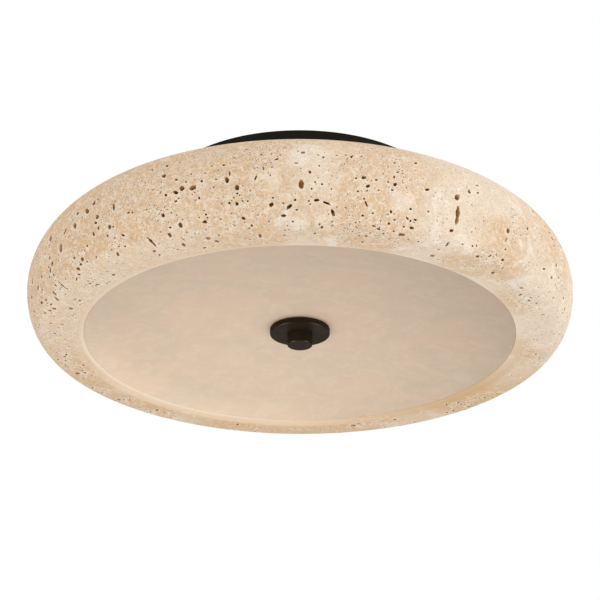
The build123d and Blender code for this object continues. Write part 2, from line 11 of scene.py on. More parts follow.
import bpy
import numpy as np
from mathutils import Matrix, Vector
from mathutils.geometry import delaunay_2d_cdt


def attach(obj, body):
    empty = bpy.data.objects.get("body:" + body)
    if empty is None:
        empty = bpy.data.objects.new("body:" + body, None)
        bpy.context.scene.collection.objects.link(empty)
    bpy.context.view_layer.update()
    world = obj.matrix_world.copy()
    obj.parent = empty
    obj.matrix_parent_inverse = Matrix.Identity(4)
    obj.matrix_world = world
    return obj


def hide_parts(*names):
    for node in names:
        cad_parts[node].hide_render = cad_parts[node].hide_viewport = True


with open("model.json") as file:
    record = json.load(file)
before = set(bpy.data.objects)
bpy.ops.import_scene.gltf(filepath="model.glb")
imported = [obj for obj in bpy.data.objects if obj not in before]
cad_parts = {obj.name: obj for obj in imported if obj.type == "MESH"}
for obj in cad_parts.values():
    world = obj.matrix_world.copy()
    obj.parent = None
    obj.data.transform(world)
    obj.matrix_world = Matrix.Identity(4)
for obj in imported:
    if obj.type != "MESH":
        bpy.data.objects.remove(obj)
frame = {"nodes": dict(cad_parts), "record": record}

LOG = logging.getLogger("ceiling_light")
MM = 0.001
TURN = 2.0 * np.pi
SIXTH = TURN / 6.0
ROUND = np.inf
SHARP = 32.0
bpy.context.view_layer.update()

Array = np.ndarray
Pair = tuple[float, float]
Point = tuple[float, float, float]
Colour = tuple[float, float, float, float]
Tree = bpy.types.NodeTree
Node = bpy.types.Node
Socket = bpy.types.NodeSocket
Material = bpy.types.Material
Value = float | Socket
Tint = Colour | Socket


class Body(Enum):
    """The rigid bodies that pieces ride on."""

    FIXTURE = "fixture"
    DIFFUSER = "diffuser"
    FINIAL_DISC = "finial_disc"
    FINIAL_KNOB = "finial_knob"
    BULB_1 = "bulb_1"
    BULB_2 = "bulb_2"
    BULB_3 = "bulb_3"


def linear(red: int, green: int, blue: int) -> Colour:
    """Turns a screen colour of 0 to 255 into the linear colour that shaders take.

    Args:
        red, green, blue: the screen colour.

    Returns:
        The linear colour with an alpha of 1.
    """
    screen = np.array([red, green, blue]) / 255.0
    value = np.where(screen <= 0.04045, screen / 12.92, ((screen + 0.055) / 1.055) ** 2.4)
    return (*(float(part) for part in value), 1.0)


# Surfaces


@dataclass(frozen=True)
class TurningAxis:
    """Where a turned piece stands: a point on its axis, the axis, and the direction of angle zero."""

    origin: Point = (0.0, 0.0, 0.0)
    along: Point = (0.0, 0.0, 1.0)
    across: Point = (1.0, 0.0, 0.0)

    def place(self, radius: Array, height: Array, angle: Array) -> Array:
        """Puts cylinder coordinates in space: origin + height * along + radius * (cos, sin) across.

        Args:
            radius, height, angle: arrays that broadcast together; the angle is in radians.

        Returns:
            Points with x, y, z in the last place.
        """
        along = np.array(self.along)
        across = np.array(self.across)
        beside = np.cross(along, across)
        radius, height, angle = np.broadcast_arrays(radius, height, angle)
        outward = np.cos(angle)[..., None] * across + np.sin(angle)[..., None] * beside
        return np.array(self.origin) + height[..., None] * along + radius[..., None] * outward


@dataclass(frozen=True)
class Thread:
    """A rolled screw thread on a turned piece, between two heights."""

    pitch: float
    depth: float
    start: float
    end: float

    def cut(self, height: Array, angle: Array) -> Array:
        """Depth of the thread: depth * (1 + cos(turns of height less turns of angle)) / 2, faded at its ends.

        Args:
            height: heights along the axis.
            angle: angles in radians, which broadcast with the heights.

        Returns:
            How far the surface lies inside the thread's crest.
        """
        wave = 0.5 + 0.5 * np.cos(TURN * height / self.pitch - angle)
        inside = np.minimum(height - self.start, self.end - height) / self.pitch
        return self.depth * wave * np.clip(2.0 * inside, 0.0, 1.0)


@dataclass
class Surface:
    """Points in millimetres, and the faces and point values of one shape, as whole arrays."""

    points: Array
    quads: Array = field(default_factory=lambda: np.zeros((0, 4), int))
    triangles: Array = field(default_factory=lambda: np.zeros((0, 3), int))
    values: dict[str, Array] = field(default_factory=dict)

    def volume(self) -> float:
        """Volume by the sum of a . (b x c) / 6 over all triangles."""
        corners = np.concatenate([self.triangles, self.quads[:, [0, 1, 2]], self.quads[:, [0, 2, 3]]])
        a, b, c = (self.points[corners[:, place]] for place in range(3))
        return float(np.einsum("ij,ij->i", a, np.cross(b, c)).sum() / 6.0)

    def facing_out(self) -> "Surface":
        """Turns the faces round where the enclosed volume comes out negative."""
        if self.volume() < 0.0:
            self.quads = self.quads[:, ::-1]
            self.triangles = self.triangles[:, ::-1]
        return self

    @staticmethod
    def joined(shapes: list["Surface"]) -> "Surface":
        """One surface that holds several shapes, without their point values."""
        first = np.cumsum([0, *(len(shape.points) for shape in shapes)])
        return Surface(
            np.concatenate([shape.points for shape in shapes]),
            np.concatenate([shape.quads + start for shape, start in zip(shapes, first)]),
            np.concatenate([shape.triangles + start for shape, start in zip(shapes, first)]),
        )

    def copies(self, places: Array) -> "Surface":
        """Repeats the shape at each place, given as rows of x, y, z."""
        return self.joined([Surface(self.points + place, self.quads, self.triangles) for place in places])

    def mesh(self, name: str, sharp: float = SHARP) -> bpy.types.Mesh:
        """Writes the arrays into a smooth-shaded mesh.

        Args:
            name: the mesh's name.
            sharp: edges that fold by more than this many degrees stay sharp.

        Returns:
            The new mesh, in metres.
        """
        mesh = bpy.data.meshes.new(name)
        mesh.vertices.add(len(self.points))
        mesh.vertices.foreach_set("co", (self.points * MM).astype(np.float32).ravel())
        sizes = np.repeat([4, 3], [len(self.quads), len(self.triangles)])
        mesh.loops.add(int(sizes.sum()))
        corners = np.concatenate([self.quads.ravel(), self.triangles.ravel()])
        mesh.loops.foreach_set("vertex_index", corners.astype(np.int32))
        mesh.polygons.add(len(sizes))
        starts = np.concatenate([[0], np.cumsum(sizes)[:-1]])
        mesh.polygons.foreach_set("loop_start", starts.astype(np.int32))
        mesh.update(calc_edges=True)
        mesh.validate()
        mesh.polygons.foreach_set("use_smooth", np.ones(len(mesh.polygons), bool))
        mesh.set_sharp_from_angle(angle=float(np.radians(sharp)))
        for label, value in self.values.items():
            layer = mesh.attributes.new(label, "FLOAT", "POINT")
            layer.data.foreach_set("value", value.astype(np.float32))
        mesh.update()
        return mesh


UPRIGHT = TurningAxis()
DOWN = (0.0, 0.0, -1.0)

# Radius of a nut's flat face over its width across flats, and the slope of its chamfer
NUT_FACE = 0.48
NUT_CONE = np.radians(30.0)

# Radius and height of the head, and radius of the shank, of the usual screw
PAN_HEAD = (3.5, 2.2, 1.75)


def rounded(corners: list[Pair], radii: list[float], steps: int = 6) -> Array:
    """Rounds a closed outline: each corner becomes an arc about corner + bisector * r / sin(half angle).

    Args:
        corners: (radius, height) of each corner, in order.
        radii: the rounding at each corner, 0 to keep it sharp.
        steps: points on each arc.

    Returns:
        The outline's points, without repeats.
    """
    corner = np.array(corners, float)
    size = np.array(radii, float)
    before = np.roll(corner, 1, axis=0) - corner
    after = np.roll(corner, -1, axis=0) - corner
    before /= np.linalg.norm(before, axis=1, keepdims=True)
    after /= np.linalg.norm(after, axis=1, keepdims=True)
    half = 0.5 * np.arccos(np.clip((before * after).sum(axis=1), -1.0, 1.0))
    bisector = before + after
    bisector /= np.linalg.norm(bisector, axis=1, keepdims=True)
    centre = corner + bisector * (size / np.sin(half))[:, None]
    start = corner + before * (size / np.tan(half))[:, None] - centre
    end = corner + after * (size / np.tan(half))[:, None] - centre
    sweep = np.pi - 2.0 * half[:, None]
    share = np.linspace(0.0, 1.0, steps)[None, :]
    weight_start = np.sin((1.0 - share) * sweep) / np.sin(sweep)
    weight_end = np.sin(share * sweep) / np.sin(sweep)
    arcs = weight_start[..., None] * start[:, None] + weight_end[..., None] * end[:, None]
    outline = (centre[:, None] + arcs).reshape(-1, 2)
    moved = np.abs(np.diff(outline, axis=0)).max(axis=1) > 1e-6
    return braced(outline[np.concatenate([[True], moved])])


def braced(outline: Array, gap: float = 0.5) -> Array:
    """Adds a row at the gap from both ends of every long straight run, which keeps its shading flat.

    Args:
        outline: (radius, height) of each row.
        gap: distance of the new rows from the run's ends.

    Returns:
        The outline with the rows added.
    """
    run = np.diff(outline, axis=0)
    share = gap / np.linalg.norm(run, axis=1, keepdims=True)
    rows = np.stack([outline[:-1], outline[:-1] + share * run, outline[1:] - share * run], axis=1)
    keep = np.broadcast_to(share < 0.25, (len(run), 3)).copy()
    keep[:, 0] = True
    return np.concatenate([rows[keep], outline[-1:]])


def turned(
    profile: Array,
    axis: TurningAxis = UPRIGHT,
    segments: int = 96,
    flats: Array | float = ROUND,
    thread: Thread | None = None,
) -> Surface:
    """Carries a profile round an axis, as a lathe does.

    Row i, column j lies at height h_i, angle t_j and radius min(r_i, hexagon of width w_i at t_j) less
    the thread's depth there. A profile that starts and ends on the axis is closed by a point at each
    end, and any other is closed on itself.

    Args:
        profile: (radius, height) of each row.
        axis: where the piece stands.
        segments: columns round the axis.
        flats: width across flats of each row's hexagon, or ROUND.
        thread: a screw thread cut into the rows that it spans.

    Returns:
        A closed surface that faces outwards.
    """
    radius, height = profile.T
    angle = np.arange(segments) * TURN / segments
    hexagon = 0.5 / np.cos((angle + SIXTH / 2.0) % SIXTH - SIXTH / 2.0)
    width = np.broadcast_to(flats, radius.shape)
    reach = np.minimum(radius[:, None], width[:, None] * hexagon[None, :])
    if thread is not None:
        reach = reach - np.where(radius[:, None] > 0.0, thread.cut(height[:, None], angle[None, :]), 0.0)
    points = axis.place(reach, height[:, None], angle[None, :])
    capped = radius[0] < 1e-9 and radius[-1] < 1e-9
    rows = points[1:-1] if capped else points
    count = len(rows)
    lower = np.arange(count - 1 if capped else count)[:, None]
    column = np.arange(segments)[None, :]
    after = (column + 1) % segments
    upper = (lower + 1) % count
    low, high = lower * segments, upper * segments
    quads = np.stack([low + column, low + after, high + after, high + column], axis=-1).reshape(-1, 4)
    triangles = np.zeros((0, 3), int)
    flat_points = rows.reshape(-1, 3)
    if capped:
        first = len(flat_points)
        column, after = column[0], after[0]
        last_row = (count - 1) * segments
        low_fan = np.stack([np.full(segments, first), after, column], axis=-1)
        high_fan = np.stack([np.full(segments, first + 1), last_row + column, last_row + after], axis=-1)
        triangles = np.concatenate([low_fan, high_fan])
        flat_points = np.concatenate([flat_points, points[0, :1], points[-1, :1]])
    return Surface(flat_points, quads, triangles).facing_out()


def ring(inner: float, outer: float, low: float, high: float, edge: float, segments: int) -> Surface:
    """A washer or gasket: a rectangle with rounded edges, carried round the upright axis."""
    corners = [(inner, low), (outer, low), (outer, high), (inner, high)]
    return turned(rounded(corners, [edge] * 4, steps=4), segments=segments)


def hex_nut(across: float, bore: float, height: float, axis: TurningAxis = UPRIGHT) -> Surface:
    """A chamfered hexagon nut: rows of a 30 degree cone cut by the hexagon, closed through the bore.

    Args:
        across: width across flats.
        bore: radius of the bore.
        height: thickness of the nut, from the axis' origin.
        axis: where the nut stands.

    Returns:
        The closed nut.
    """
    corner = across / np.sqrt(3.0)
    face = NUT_FACE * across
    chamfer = (corner - face) * np.tan(NUT_CONE)
    cone = np.linspace(face, corner, 5)
    rise = np.linspace(0.0, chamfer, 5)
    radius = np.concatenate([[bore], cone, cone[::-1], [bore]])
    level = np.concatenate([[0.0], rise, height - rise[::-1], [height]])
    flats = np.where(radius > bore, across, ROUND)
    return turned(np.stack([radius, level], axis=1), axis, segments=72, flats=flats)


def threaded_rows(radius: float, start: float, end: float, pitch: float, per_turn: int = 6) -> Array:
    """Rows of a thread's crest radius, as (radius, height), so many for each turn of the thread."""
    count = max(2, int(abs(end - start) / pitch * per_turn))
    return np.stack([np.full(count, radius), np.linspace(start, end, count)], axis=1)


# Node sheets


class NodeSheet:
    """Adds nodes to one shader tree, sets their values and joins their sockets."""

    def __init__(self, tree: Tree) -> None:
        """Keeps the tree to work on."""
        self.tree = tree

    def feed(self, node: Node, values: dict) -> None:
        """Fills inputs of a node.

        Args:
            node: the node.
            values: input name or number to a value, or to a socket that feeds it.
        """
        for label, value in values.items():
            if isinstance(value, Socket):
                self.tree.links.new(value, node.inputs[label])
            else:
                node.inputs[label].default_value = value

    def add(self, kind: str, values: dict | None = None, **settings: object) -> Node:
        """Adds one node.

        Args:
            kind: the node's type name.
            values: input name or number to a value, or to a socket that feeds it.
            settings: properties of the node.

        Returns:
            The new node.
        """
        node = self.tree.nodes.new(kind)
        for label, setting in settings.items():
            setattr(node, label, setting)
        self.feed(node, values or {})
        return node

    def mix(self, factor: Value, first: Tint, second: Tint, blend: str = "MIX") -> Socket:
        """Mixes two colours; the factor is the second one's share."""
        values = {0: factor, 6: first, 7: second}
        return self.add("ShaderNodeMix", values, data_type="RGBA", blend_type=blend).outputs[2]

    def math(self, operation: str, first: Value, second: Value = 0.0, clamp: bool = False) -> Socket:
        """Works out one number from two; clamp keeps it between 0 and 1."""
        values = {0: first, 1: second}
        return self.add("ShaderNodeMath", values, operation=operation, use_clamp=clamp).outputs[0]

    def times(self, first: Value, second: Value) -> Socket:
        """The product of two numbers."""
        return self.math("MULTIPLY", first, second)

    def plus(self, first: Value, second: Value) -> Socket:
        """The sum of two numbers."""
        return self.math("ADD", first, second)

    def step(self, value: Value, low: Value, high: Value, least: Value = 0.0, most: Value = 1.0) -> Socket:
        """Maps low..high to least..most with smooth ends; low may be the larger."""
        values = {"Value": value, "From Min": low, "From Max": high, "To Min": least, "To Max": most}
        return self.add("ShaderNodeMapRange", values, interpolation_type="SMOOTHSTEP").outputs["Result"]

    def parts(self, vector: Socket) -> list[Socket]:
        """The x, y and z of a vector."""
        return list(self.add("ShaderNodeSeparateXYZ", {"Vector": vector}).outputs)

    def shaded(self, colour: Socket, level: Socket) -> Socket:
        """A colour times a level of grey."""
        grey = self.add("ShaderNodeCombineColor", {"Red": level, "Green": level, "Blue": level})
        return self.mix(1.0, colour, grey.outputs[0], "MULTIPLY")

    def seen(self) -> Socket:
        """1 for rays that come from the camera, a mirror or glass, and 0 for all others."""
        path = self.add("ShaderNodeLightPath").outputs
        direct = self.math("MAXIMUM", path["Is Camera Ray"], path["Is Glossy Ray"])
        return self.math("MAXIMUM", direct, path["Is Transmission Ray"])


class GroupSheet(NodeSheet):
    """The sheet of one node group, with what it is given and what it puts out."""

    def __init__(self, name: str, inputs: dict[str, float], outputs: tuple[str, ...]) -> None:
        """Starts the group.

        Args:
            name: the group's name.
            inputs: input name to its default; a vector is always the first input.
            outputs: names of the values put out.
        """
        super().__init__(bpy.data.node_groups.new(name, "ShaderNodeTree"))
        sockets = self.tree.interface
        sockets.new_socket(name="Vector", in_out="INPUT", socket_type="NodeSocketVector")
        for label, default in inputs.items():
            socket = sockets.new_socket(name=label, in_out="INPUT", socket_type="NodeSocketFloat")
            socket.default_value = default
        for label in outputs:
            sockets.new_socket(name=label, in_out="OUTPUT", socket_type="NodeSocketFloat")
        self.given = self.add("NodeGroupInput").outputs
        self.out = self.add("NodeGroupOutput")

    def noise(self, scale: str = "Scale", **inputs: Value) -> Socket:
        """A noise with one of the given scales, and with other inputs by their names."""
        values = {"Vector": self.given["Vector"], "Scale": self.given[scale], **inputs}
        return self.add("ShaderNodeTexNoise", values).outputs["Fac"]

    def done(self, **results: Socket) -> Tree:
        """Puts the results out."""
        self.feed(self.out, results)
        return self.tree


class Effects:
    """Shader node groups that several finishes share, each built once."""

    def __init__(self) -> None:
        """Builds the groups."""
        self.clouds = self._clouds()
        self.grain = self._grain()
        self.handling = self._handling()
        self.turning = self._turning()
        self.pinholes = self._pinholes()
        self.crackle = self._crackle()

    @staticmethod
    def _clouds() -> Tree:
        """Soft patches: a warped noise with its middle stretched to the full range."""
        inputs = {"Scale": 20.0, "Low": 0.4, "High": 0.6, "Warp": 0.6}
        sheet = GroupSheet("soft clouds", inputs, ("Mask",))
        noise = sheet.noise(Detail=5.0, Roughness=0.58, Distortion=sheet.given["Warp"])
        return sheet.done(Mask=sheet.step(noise, sheet.given["Low"], sheet.given["High"]))

    @staticmethod
    def _grain() -> Tree:
        """Fine even grain, for relief and for small changes of tone."""
        sheet = GroupSheet("fine grain", {"Scale": 900.0}, ("Grain",))
        return sheet.done(Grain=sheet.step(sheet.noise(Detail=3.0, Roughness=0.65), 0.25, 0.75))

    @staticmethod
    def _handling() -> Tree:
        """Roughness that drifts over a surface as handling and dust leave it."""
        sheet = GroupSheet("handled roughness", {"Scale": 30.0, "Base": 0.4, "Spread": 0.1}, ("Roughness",))
        centred = sheet.math("SUBTRACT", sheet.noise(Detail=6.0), 0.5)
        drift = sheet.times(sheet.times(centred, sheet.given["Spread"]), 2.0)
        return sheet.done(Roughness=sheet.math("ADD", drift, sheet.given["Base"], clamp=True))

    @staticmethod
    def _turning() -> Tree:
        """Fine rings left by a lathe, from the distance to the upright axis and the height."""
        sheet = GroupSheet("lathe rings", {"Pitch": 2500.0}, ("Rings",))
        side, away, up = sheet.parts(sheet.given["Vector"])
        square = sheet.plus(sheet.math("POWER", side, 2.0), sheet.math("POWER", away, 2.0))
        line = sheet.add("ShaderNodeCombineXYZ", {"X": sheet.math("SQRT", square), "Y": up})
        return sheet.done(Rings=sheet.noise("Pitch", Vector=line.outputs["Vector"], Detail=2.0))

    @staticmethod
    def _crackle() -> Tree:
        """Thin wandering ridges: where a warped noise passes through its middle value."""
        sheet = GroupSheet("crackle", {"Scale": 200.0}, ("Ridge",))
        centred = sheet.math("SUBTRACT", sheet.noise(Detail=4.0, Roughness=0.6, Distortion=0.8), 0.5)
        return sheet.done(Ridge=sheet.step(sheet.math("ABSOLUTE", centred), 0.045, 0.0))

    @staticmethod
    def _pinholes() -> Tree:
        """Scattered pin-sized pores: cells whose centre is near, where a broad noise lets them open."""
        inputs = {"Scale": 500.0, "Size": 0.3, "Cover": 0.5, "Patch": 30.0}
        sheet = GroupSheet("pin pores", inputs, ("Mask", "Rim"))
        given = sheet.given
        cell = sheet.add("ShaderNodeTexVoronoi", {"Vector": given["Vector"], "Scale": given["Scale"]}).outputs
        tone = sheet.add("ShaderNodeSeparateColor", {"Color": cell["Color"]}).outputs
        patch = sheet.step(sheet.noise("Patch", Detail=3.0), 0.4, 0.7)
        is_open = sheet.math("LESS_THAN", tone["Red"], sheet.times(patch, given["Cover"]))
        reach = sheet.times(given["Size"], sheet.plus(tone["Green"], 0.4))
        near = sheet.step(cell["Distance"], reach, sheet.times(reach, 0.6))
        # A ring round each pore, which the stone paints as a highlight
        around = sheet.step(cell["Distance"], sheet.times(reach, 1.9), reach)
        return sheet.done(Mask=sheet.times(near, is_open), Rim=sheet.times(around, is_open))


EFFECTS = Effects()


class Coat(NodeSheet):
    """The sheet of one material, with its Principled shader and its Object coordinate."""

    def __init__(self, name: str) -> None:
        """Starts the material."""
        self.material = bpy.data.materials.new(name)
        self.material.use_nodes = True
        super().__init__(self.material.node_tree)
        self.shader = self.tree.nodes["Principled BSDF"]
        self.where = self.add("ShaderNodeTexCoord").outputs["Object"]

    def value(self, name: str) -> Socket:
        """One of the mesh's point values."""
        return self.add("ShaderNodeAttribute", attribute_name=name).outputs["Fac"]

    def effects(self, tree: Tree, **inputs: Value) -> list[Socket]:
        """All that a shared group puts out, with its inputs by their names."""
        return list(self.add("ShaderNodeGroup", {"Vector": self.where, **inputs}, node_tree=tree).outputs)

    def effect(self, tree: Tree, **inputs: Value) -> Socket:
        """What a shared group puts out first, with its inputs by their names."""
        return self.effects(tree, **inputs)[0]

    def bump(self, height: Socket, strength: float, distance: float) -> Socket:
        """The normal of a relief; its distance is in metres."""
        values = {"Strength": strength, "Distance": distance, "Height": height}
        return self.add("ShaderNodeBump", values).outputs[0]

    def done(self, inputs: dict[str, Value]) -> Material:
        """Fills the shader's inputs."""
        self.feed(self.shader, inputs)
        return self.material


# Finishes


@dataclass(frozen=True)
class Finish:
    """Name and record slot of a finish."""

    name: str
    slot: str

    def material(self) -> Material:
        """Builds the finish; each kind of finish has its own."""
        raise NotImplementedError


@dataclass(frozen=True)
class Travertine(Finish):
    """Honed, unfilled travertine: cream clouds on tan, golden stains, crackle, pores and golden pit walls.

    It carries painted light and shade: the pit walls darken inwards, the relief lightens and darkens the
    colour, highlights ring the pores and pit mouths and line the opening's left edge, and a band round
    the far opening is a highlight on the left and shade on the right.

    The lip's ranges run from where a mask starts to where it is full, in metres: up is the height, away
    and side are y and x, and radius is the distance from the axis.
    """

    cream: Colour = linear(234, 205, 172)
    tan: Colour = linear(229, 193, 154)
    # The stone's palest tone, also used for the painted highlights
    white: Colour = linear(252, 237, 217)
    gold: Colour = linear(217, 177, 132)
    # Pit walls: golden near the mouth, then a darker brown deeper in that is painted shade
    wall: Colour = linear(192, 143, 86)
    deep: Colour = linear(68, 41, 18)
    pore: Colour = linear(128, 80, 34)
    # Painted band round the far opening: a peach highlight on the left, ochre shade on the right
    peach: Colour = linear(252, 222, 189)
    ochre: Colour = linear(216, 181, 141)
    lip_up: Pair = (-0.128, -0.134)
    far_away: Pair = (-0.01, 0.13)
    gold_side: Pair = (-0.05, 0.16)
    gold_share: Pair = (0.08, 0.48)
    # Ranges of the painted band, then of the painted highlight along the opening's left edge
    border_radius: Pair = (0.1925, 0.188)
    ochre_side: Pair = (-0.04, 0.16)
    painted_edge_highlight_radius: Pair = (0.1848, 0.1806)
    painted_edge_highlight_side: Pair = (0.02, -0.1)
    painted_edge_highlight_away: Pair = (-0.04, 0.04)
    # Ranges of the left, near part of the lip, which is whitened
    paler_left_side: Pair = (0.0, -0.12)
    paler_left_away: Pair = (0.08, -0.02)

    def lip(self, coat: Coat) -> tuple[Socket, ...]:
        """Masks of the lip: smooth, golden under the far side, with painted light and shade round the
        opening.

        Args:
            coat: the material's sheet.

        Returns:
            Masks of the far lip and of the paler left lip, the share of gold, the painted band's mask and
            colour, and the mask of the painted highlight along the opening's left edge.
        """
        side, away, up = coat.parts(coat.where)
        level = coat.add("ShaderNodeCombineXYZ", {"X": side, "Y": away}).outputs[0]
        radius = coat.add("ShaderNodeVectorMath", {0: level}, operation="LENGTH").outputs["Value"]
        under = coat.step(up, *self.lip_up)
        far = coat.times(under, coat.step(away, *self.far_away))
        golden = coat.times(far, coat.step(side, *self.gold_side, *self.gold_share))
        # Painted band round the far opening: a highlight on the left that fades outwards, shade on the right
        border = coat.times(far, coat.step(radius, *self.border_radius))
        painted_band_colour = coat.mix(coat.step(side, *self.ochre_side), self.peach, self.ochre)
        # Painted highlight along the opening's left edge
        left = coat.times(coat.step(side, *self.painted_edge_highlight_side), coat.step(away, *self.painted_edge_highlight_away))
        painted_edge_highlight = coat.times(left, coat.step(radius, *self.painted_edge_highlight_radius))
        # The left, near part of the lip, which is whitened
        beside = coat.times(coat.step(side, *self.paler_left_side), coat.step(away, *self.paler_left_away))
        return far, coat.times(under, beside), golden, border, painted_band_colour, painted_edge_highlight

    def material(self) -> Material:
        """Mixes tones by the cloud value and noise, paints light and shade, then darkens pores and pit walls.
        """
        coat = Coat(self.name)
        # rim: a painted highlight along each pit mouth
        pale, hollow, bare, edge = (coat.value(label) for label in ("pale", "hollow", "bare", "rim"))
        lip, paler_left, golden, border, painted_band_colour, painted_edge_highlight = self.lip(coat)
        rough_skin = coat.times(coat.step(bare, 1.0, 0.0), coat.step(pale, 1.0, 0.4, 0.55, 1.0))
        rough_skin = coat.times(rough_skin, coat.step(lip, 0.0, 1.0, 1.0, 0.5))
        fine = coat.effect(EFFECTS.clouds, Scale=48.0, Low=0.3, High=0.7)
        chalk = coat.effect(EFFECTS.clouds, Scale=26.0, Low=0.54, High=0.62, Warp=1.4)
        stain = coat.effect(EFFECTS.clouds, Scale=95.0, Low=0.56, High=0.76, Warp=1.0)
        relief = coat.effect(EFFECTS.clouds, Scale=230.0, Low=0.3, High=0.75)
        swell = coat.effect(EFFECTS.clouds, Scale=115.0, Low=0.32, High=0.68, Warp=1.2)
        grain = coat.effect(EFFECTS.grain, Scale=520.0)
        ridge = coat.times(coat.effect(EFFECTS.crackle, Scale=150.0), rough_skin)
        cloud = coat.plus(coat.times(pale, 0.7), coat.times(fine, 0.3))
        colour = coat.mix(coat.step(cloud, 0.15, 0.85), self.tan, self.cream)
        colour = coat.mix(coat.times(chalk, coat.step(pale, 0.3, 0.9, 0.1, 0.95)), colour, self.white)
        colour = coat.mix(coat.step(pale, 0.7, 1.0, 0.0, 0.6), colour, self.white)
        colour = coat.mix(coat.times(stain, coat.step(cloud, 0.9, 0.1, 0.1, 0.4)), colour, self.gold)
        lumps = coat.plus(relief, coat.times(swell, 1.3))
        lumps = coat.times(lumps, coat.step(rough_skin, 0.0, 1.0, 0.2, 1.0))
        # The relief lightens and darkens the colour as painted light and shade; the grain varies its tone
        tone = coat.times(coat.step(grain, 0.0, 1.0, 0.93, 1.06), coat.step(lumps, 0.0, 2.3, 0.9, 1.1))
        colour = coat.mix(coat.times(ridge, 0.9), coat.shaded(colour, tone), self.white)
        for scale, size, strength in ((330.0, 0.3, 0.9), (640.0, 0.34, 0.8)):
            mask, rim = coat.effects(EFFECTS.pinholes, Scale=scale, Size=size, Cover=0.9, Patch=38.0)
            # Painted highlight ring round each pore
            colour = coat.mix(coat.times(coat.times(rim, rough_skin), 0.6), colour, self.white)
            colour = coat.mix(coat.times(coat.times(mask, rough_skin), strength), colour, self.pore)
        layers = (
            (coat.times(bare, 0.3), self.white),
            (coat.times(paler_left, 0.3), self.white),
            (golden, self.gold),
            # Painted band round the far opening, then the painted highlight on its left edge
            (coat.times(border, 0.8), painted_band_colour),
            (coat.times(painted_edge_highlight, 0.8), self.white),
            # Painted highlight along each pit mouth, strongest on its lower edge
            (coat.times(coat.math("POWER", edge, 2.0), 0.9), self.white),
            # Pit walls: golden near the mouth, darker deeper in, as painted shade
            (coat.step(hollow, 0.0, 0.5), self.wall),
            (coat.step(hollow, 0.45, 1.0), self.deep),
        )
        for share, layer in layers:
            colour = coat.mix(share, colour, layer)
        height = coat.plus(coat.times(ridge, 0.5), coat.times(chalk, 0.8))
        height = coat.plus(height, coat.plus(lumps, coat.times(grain, 0.3)))
        return coat.done({
            "Base Color": colour,
            "Roughness": coat.effect(EFFECTS.handling, Scale=60.0, Base=0.8, Spread=0.1),
            "Specular IOR Level": 0.05,
            "Normal": coat.bump(height, strength=0.5, distance=0.001),
        })


@dataclass(frozen=True)
class Opal(Finish):
    """Matte opal sheet with soft clouds and painted light: lighter to the far left, shaded at the sides and
    far edge, with a painted highlight along its left rim.

    The rim highlight's ranges run from where it starts to where it is full, in metres.
    """

    warm: Colour = linear(222, 195, 170)
    cool: Colour = linear(214, 193, 169)
    pale: Colour = linear(229, 209, 184)
    level: float = 1.03
    # Painted light: lighter along this direction, by drift for each metre
    painted_light_towards: Point = (-0.6, 1.0, 0.0)
    drift: float = 1.1
    # Painted shade towards the left and right sides and the far edge
    sides: float = 5.0
    # Painted highlight along the left rim: its strength and ranges
    painted_rim_highlight: float = 0.15
    rim_radius: Pair = (0.14, 0.18)
    rim_side: Pair = (0.07, -0.06)
    rim_away: Pair = (-0.04, 0.06)

    def material(self) -> Material:
        """Mixes three close tones by two cloud fields, then paints light, shade and a rim highlight on them.
        """
        coat = Coat(self.name)
        broad = coat.effect(EFFECTS.clouds, Scale=17.0, Low=0.3, High=0.7, Warp=1.2)
        fine = coat.effect(EFFECTS.clouds, Scale=60.0, Low=0.42, High=0.72, Warp=1.6)
        colour = coat.mix(broad, self.warm, self.cool)
        colour = coat.mix(coat.times(fine, 0.44), colour, self.pale)
        # Painted light: lighter towards the far left
        values = {0: coat.where, 1: self.painted_light_towards}
        along = coat.add("ShaderNodeVectorMath", values, operation="DOT_PRODUCT").outputs["Value"]
        level = coat.plus(self.level, coat.times(along, self.drift))
        side, away, _ = coat.parts(coat.where)
        # Painted shade towards the sides and the far edge
        square = coat.times(side, side)
        behind = coat.math("POWER", coat.math("MAXIMUM", away, 0.0), 2.0)
        level = coat.math("SUBTRACT", level, coat.times(coat.plus(square, behind), self.sides))
        # Painted highlight along the left rim
        reach = coat.plus(square, coat.times(away, away))
        start, full = self.rim_radius
        rim = coat.times(coat.step(reach, start**2, full**2), coat.step(side, *self.rim_side))
        rim = coat.times(rim, coat.step(away, *self.rim_away, 0.0, self.painted_rim_highlight))
        return coat.done({
            "Base Color": coat.shaded(colour, coat.plus(level, rim)),
            "Roughness": coat.effect(EFFECTS.handling, Scale=40.0, Base=0.62, Spread=0.08),
            "Specular IOR Level": 0.15,
        })


@dataclass(frozen=True)
class Enamel(Finish):
    """Sprayed paint or powder coat with a faint orange-peel relief."""

    colour: Colour = linear(23, 22, 16)
    lift: Colour = linear(30, 28, 21)
    roughness: float = 0.6
    specular: float = 0.06

    def material(self) -> Material:
        """Lets tone and roughness drift over an orange-peel bump."""
        coat = Coat(self.name)
        drift = coat.effect(EFFECTS.clouds, Scale=25.0, Low=0.3, High=0.7)
        peel = coat.effect(EFFECTS.grain, Scale=700.0)
        return coat.done({
            "Base Color": coat.mix(drift, self.colour, self.lift),
            "Roughness": coat.effect(EFFECTS.handling, Scale=45.0, Base=self.roughness, Spread=0.08),
            "Specular IOR Level": self.specular,
            "Normal": coat.bump(peel, strength=0.12, distance=0.0002),
        })


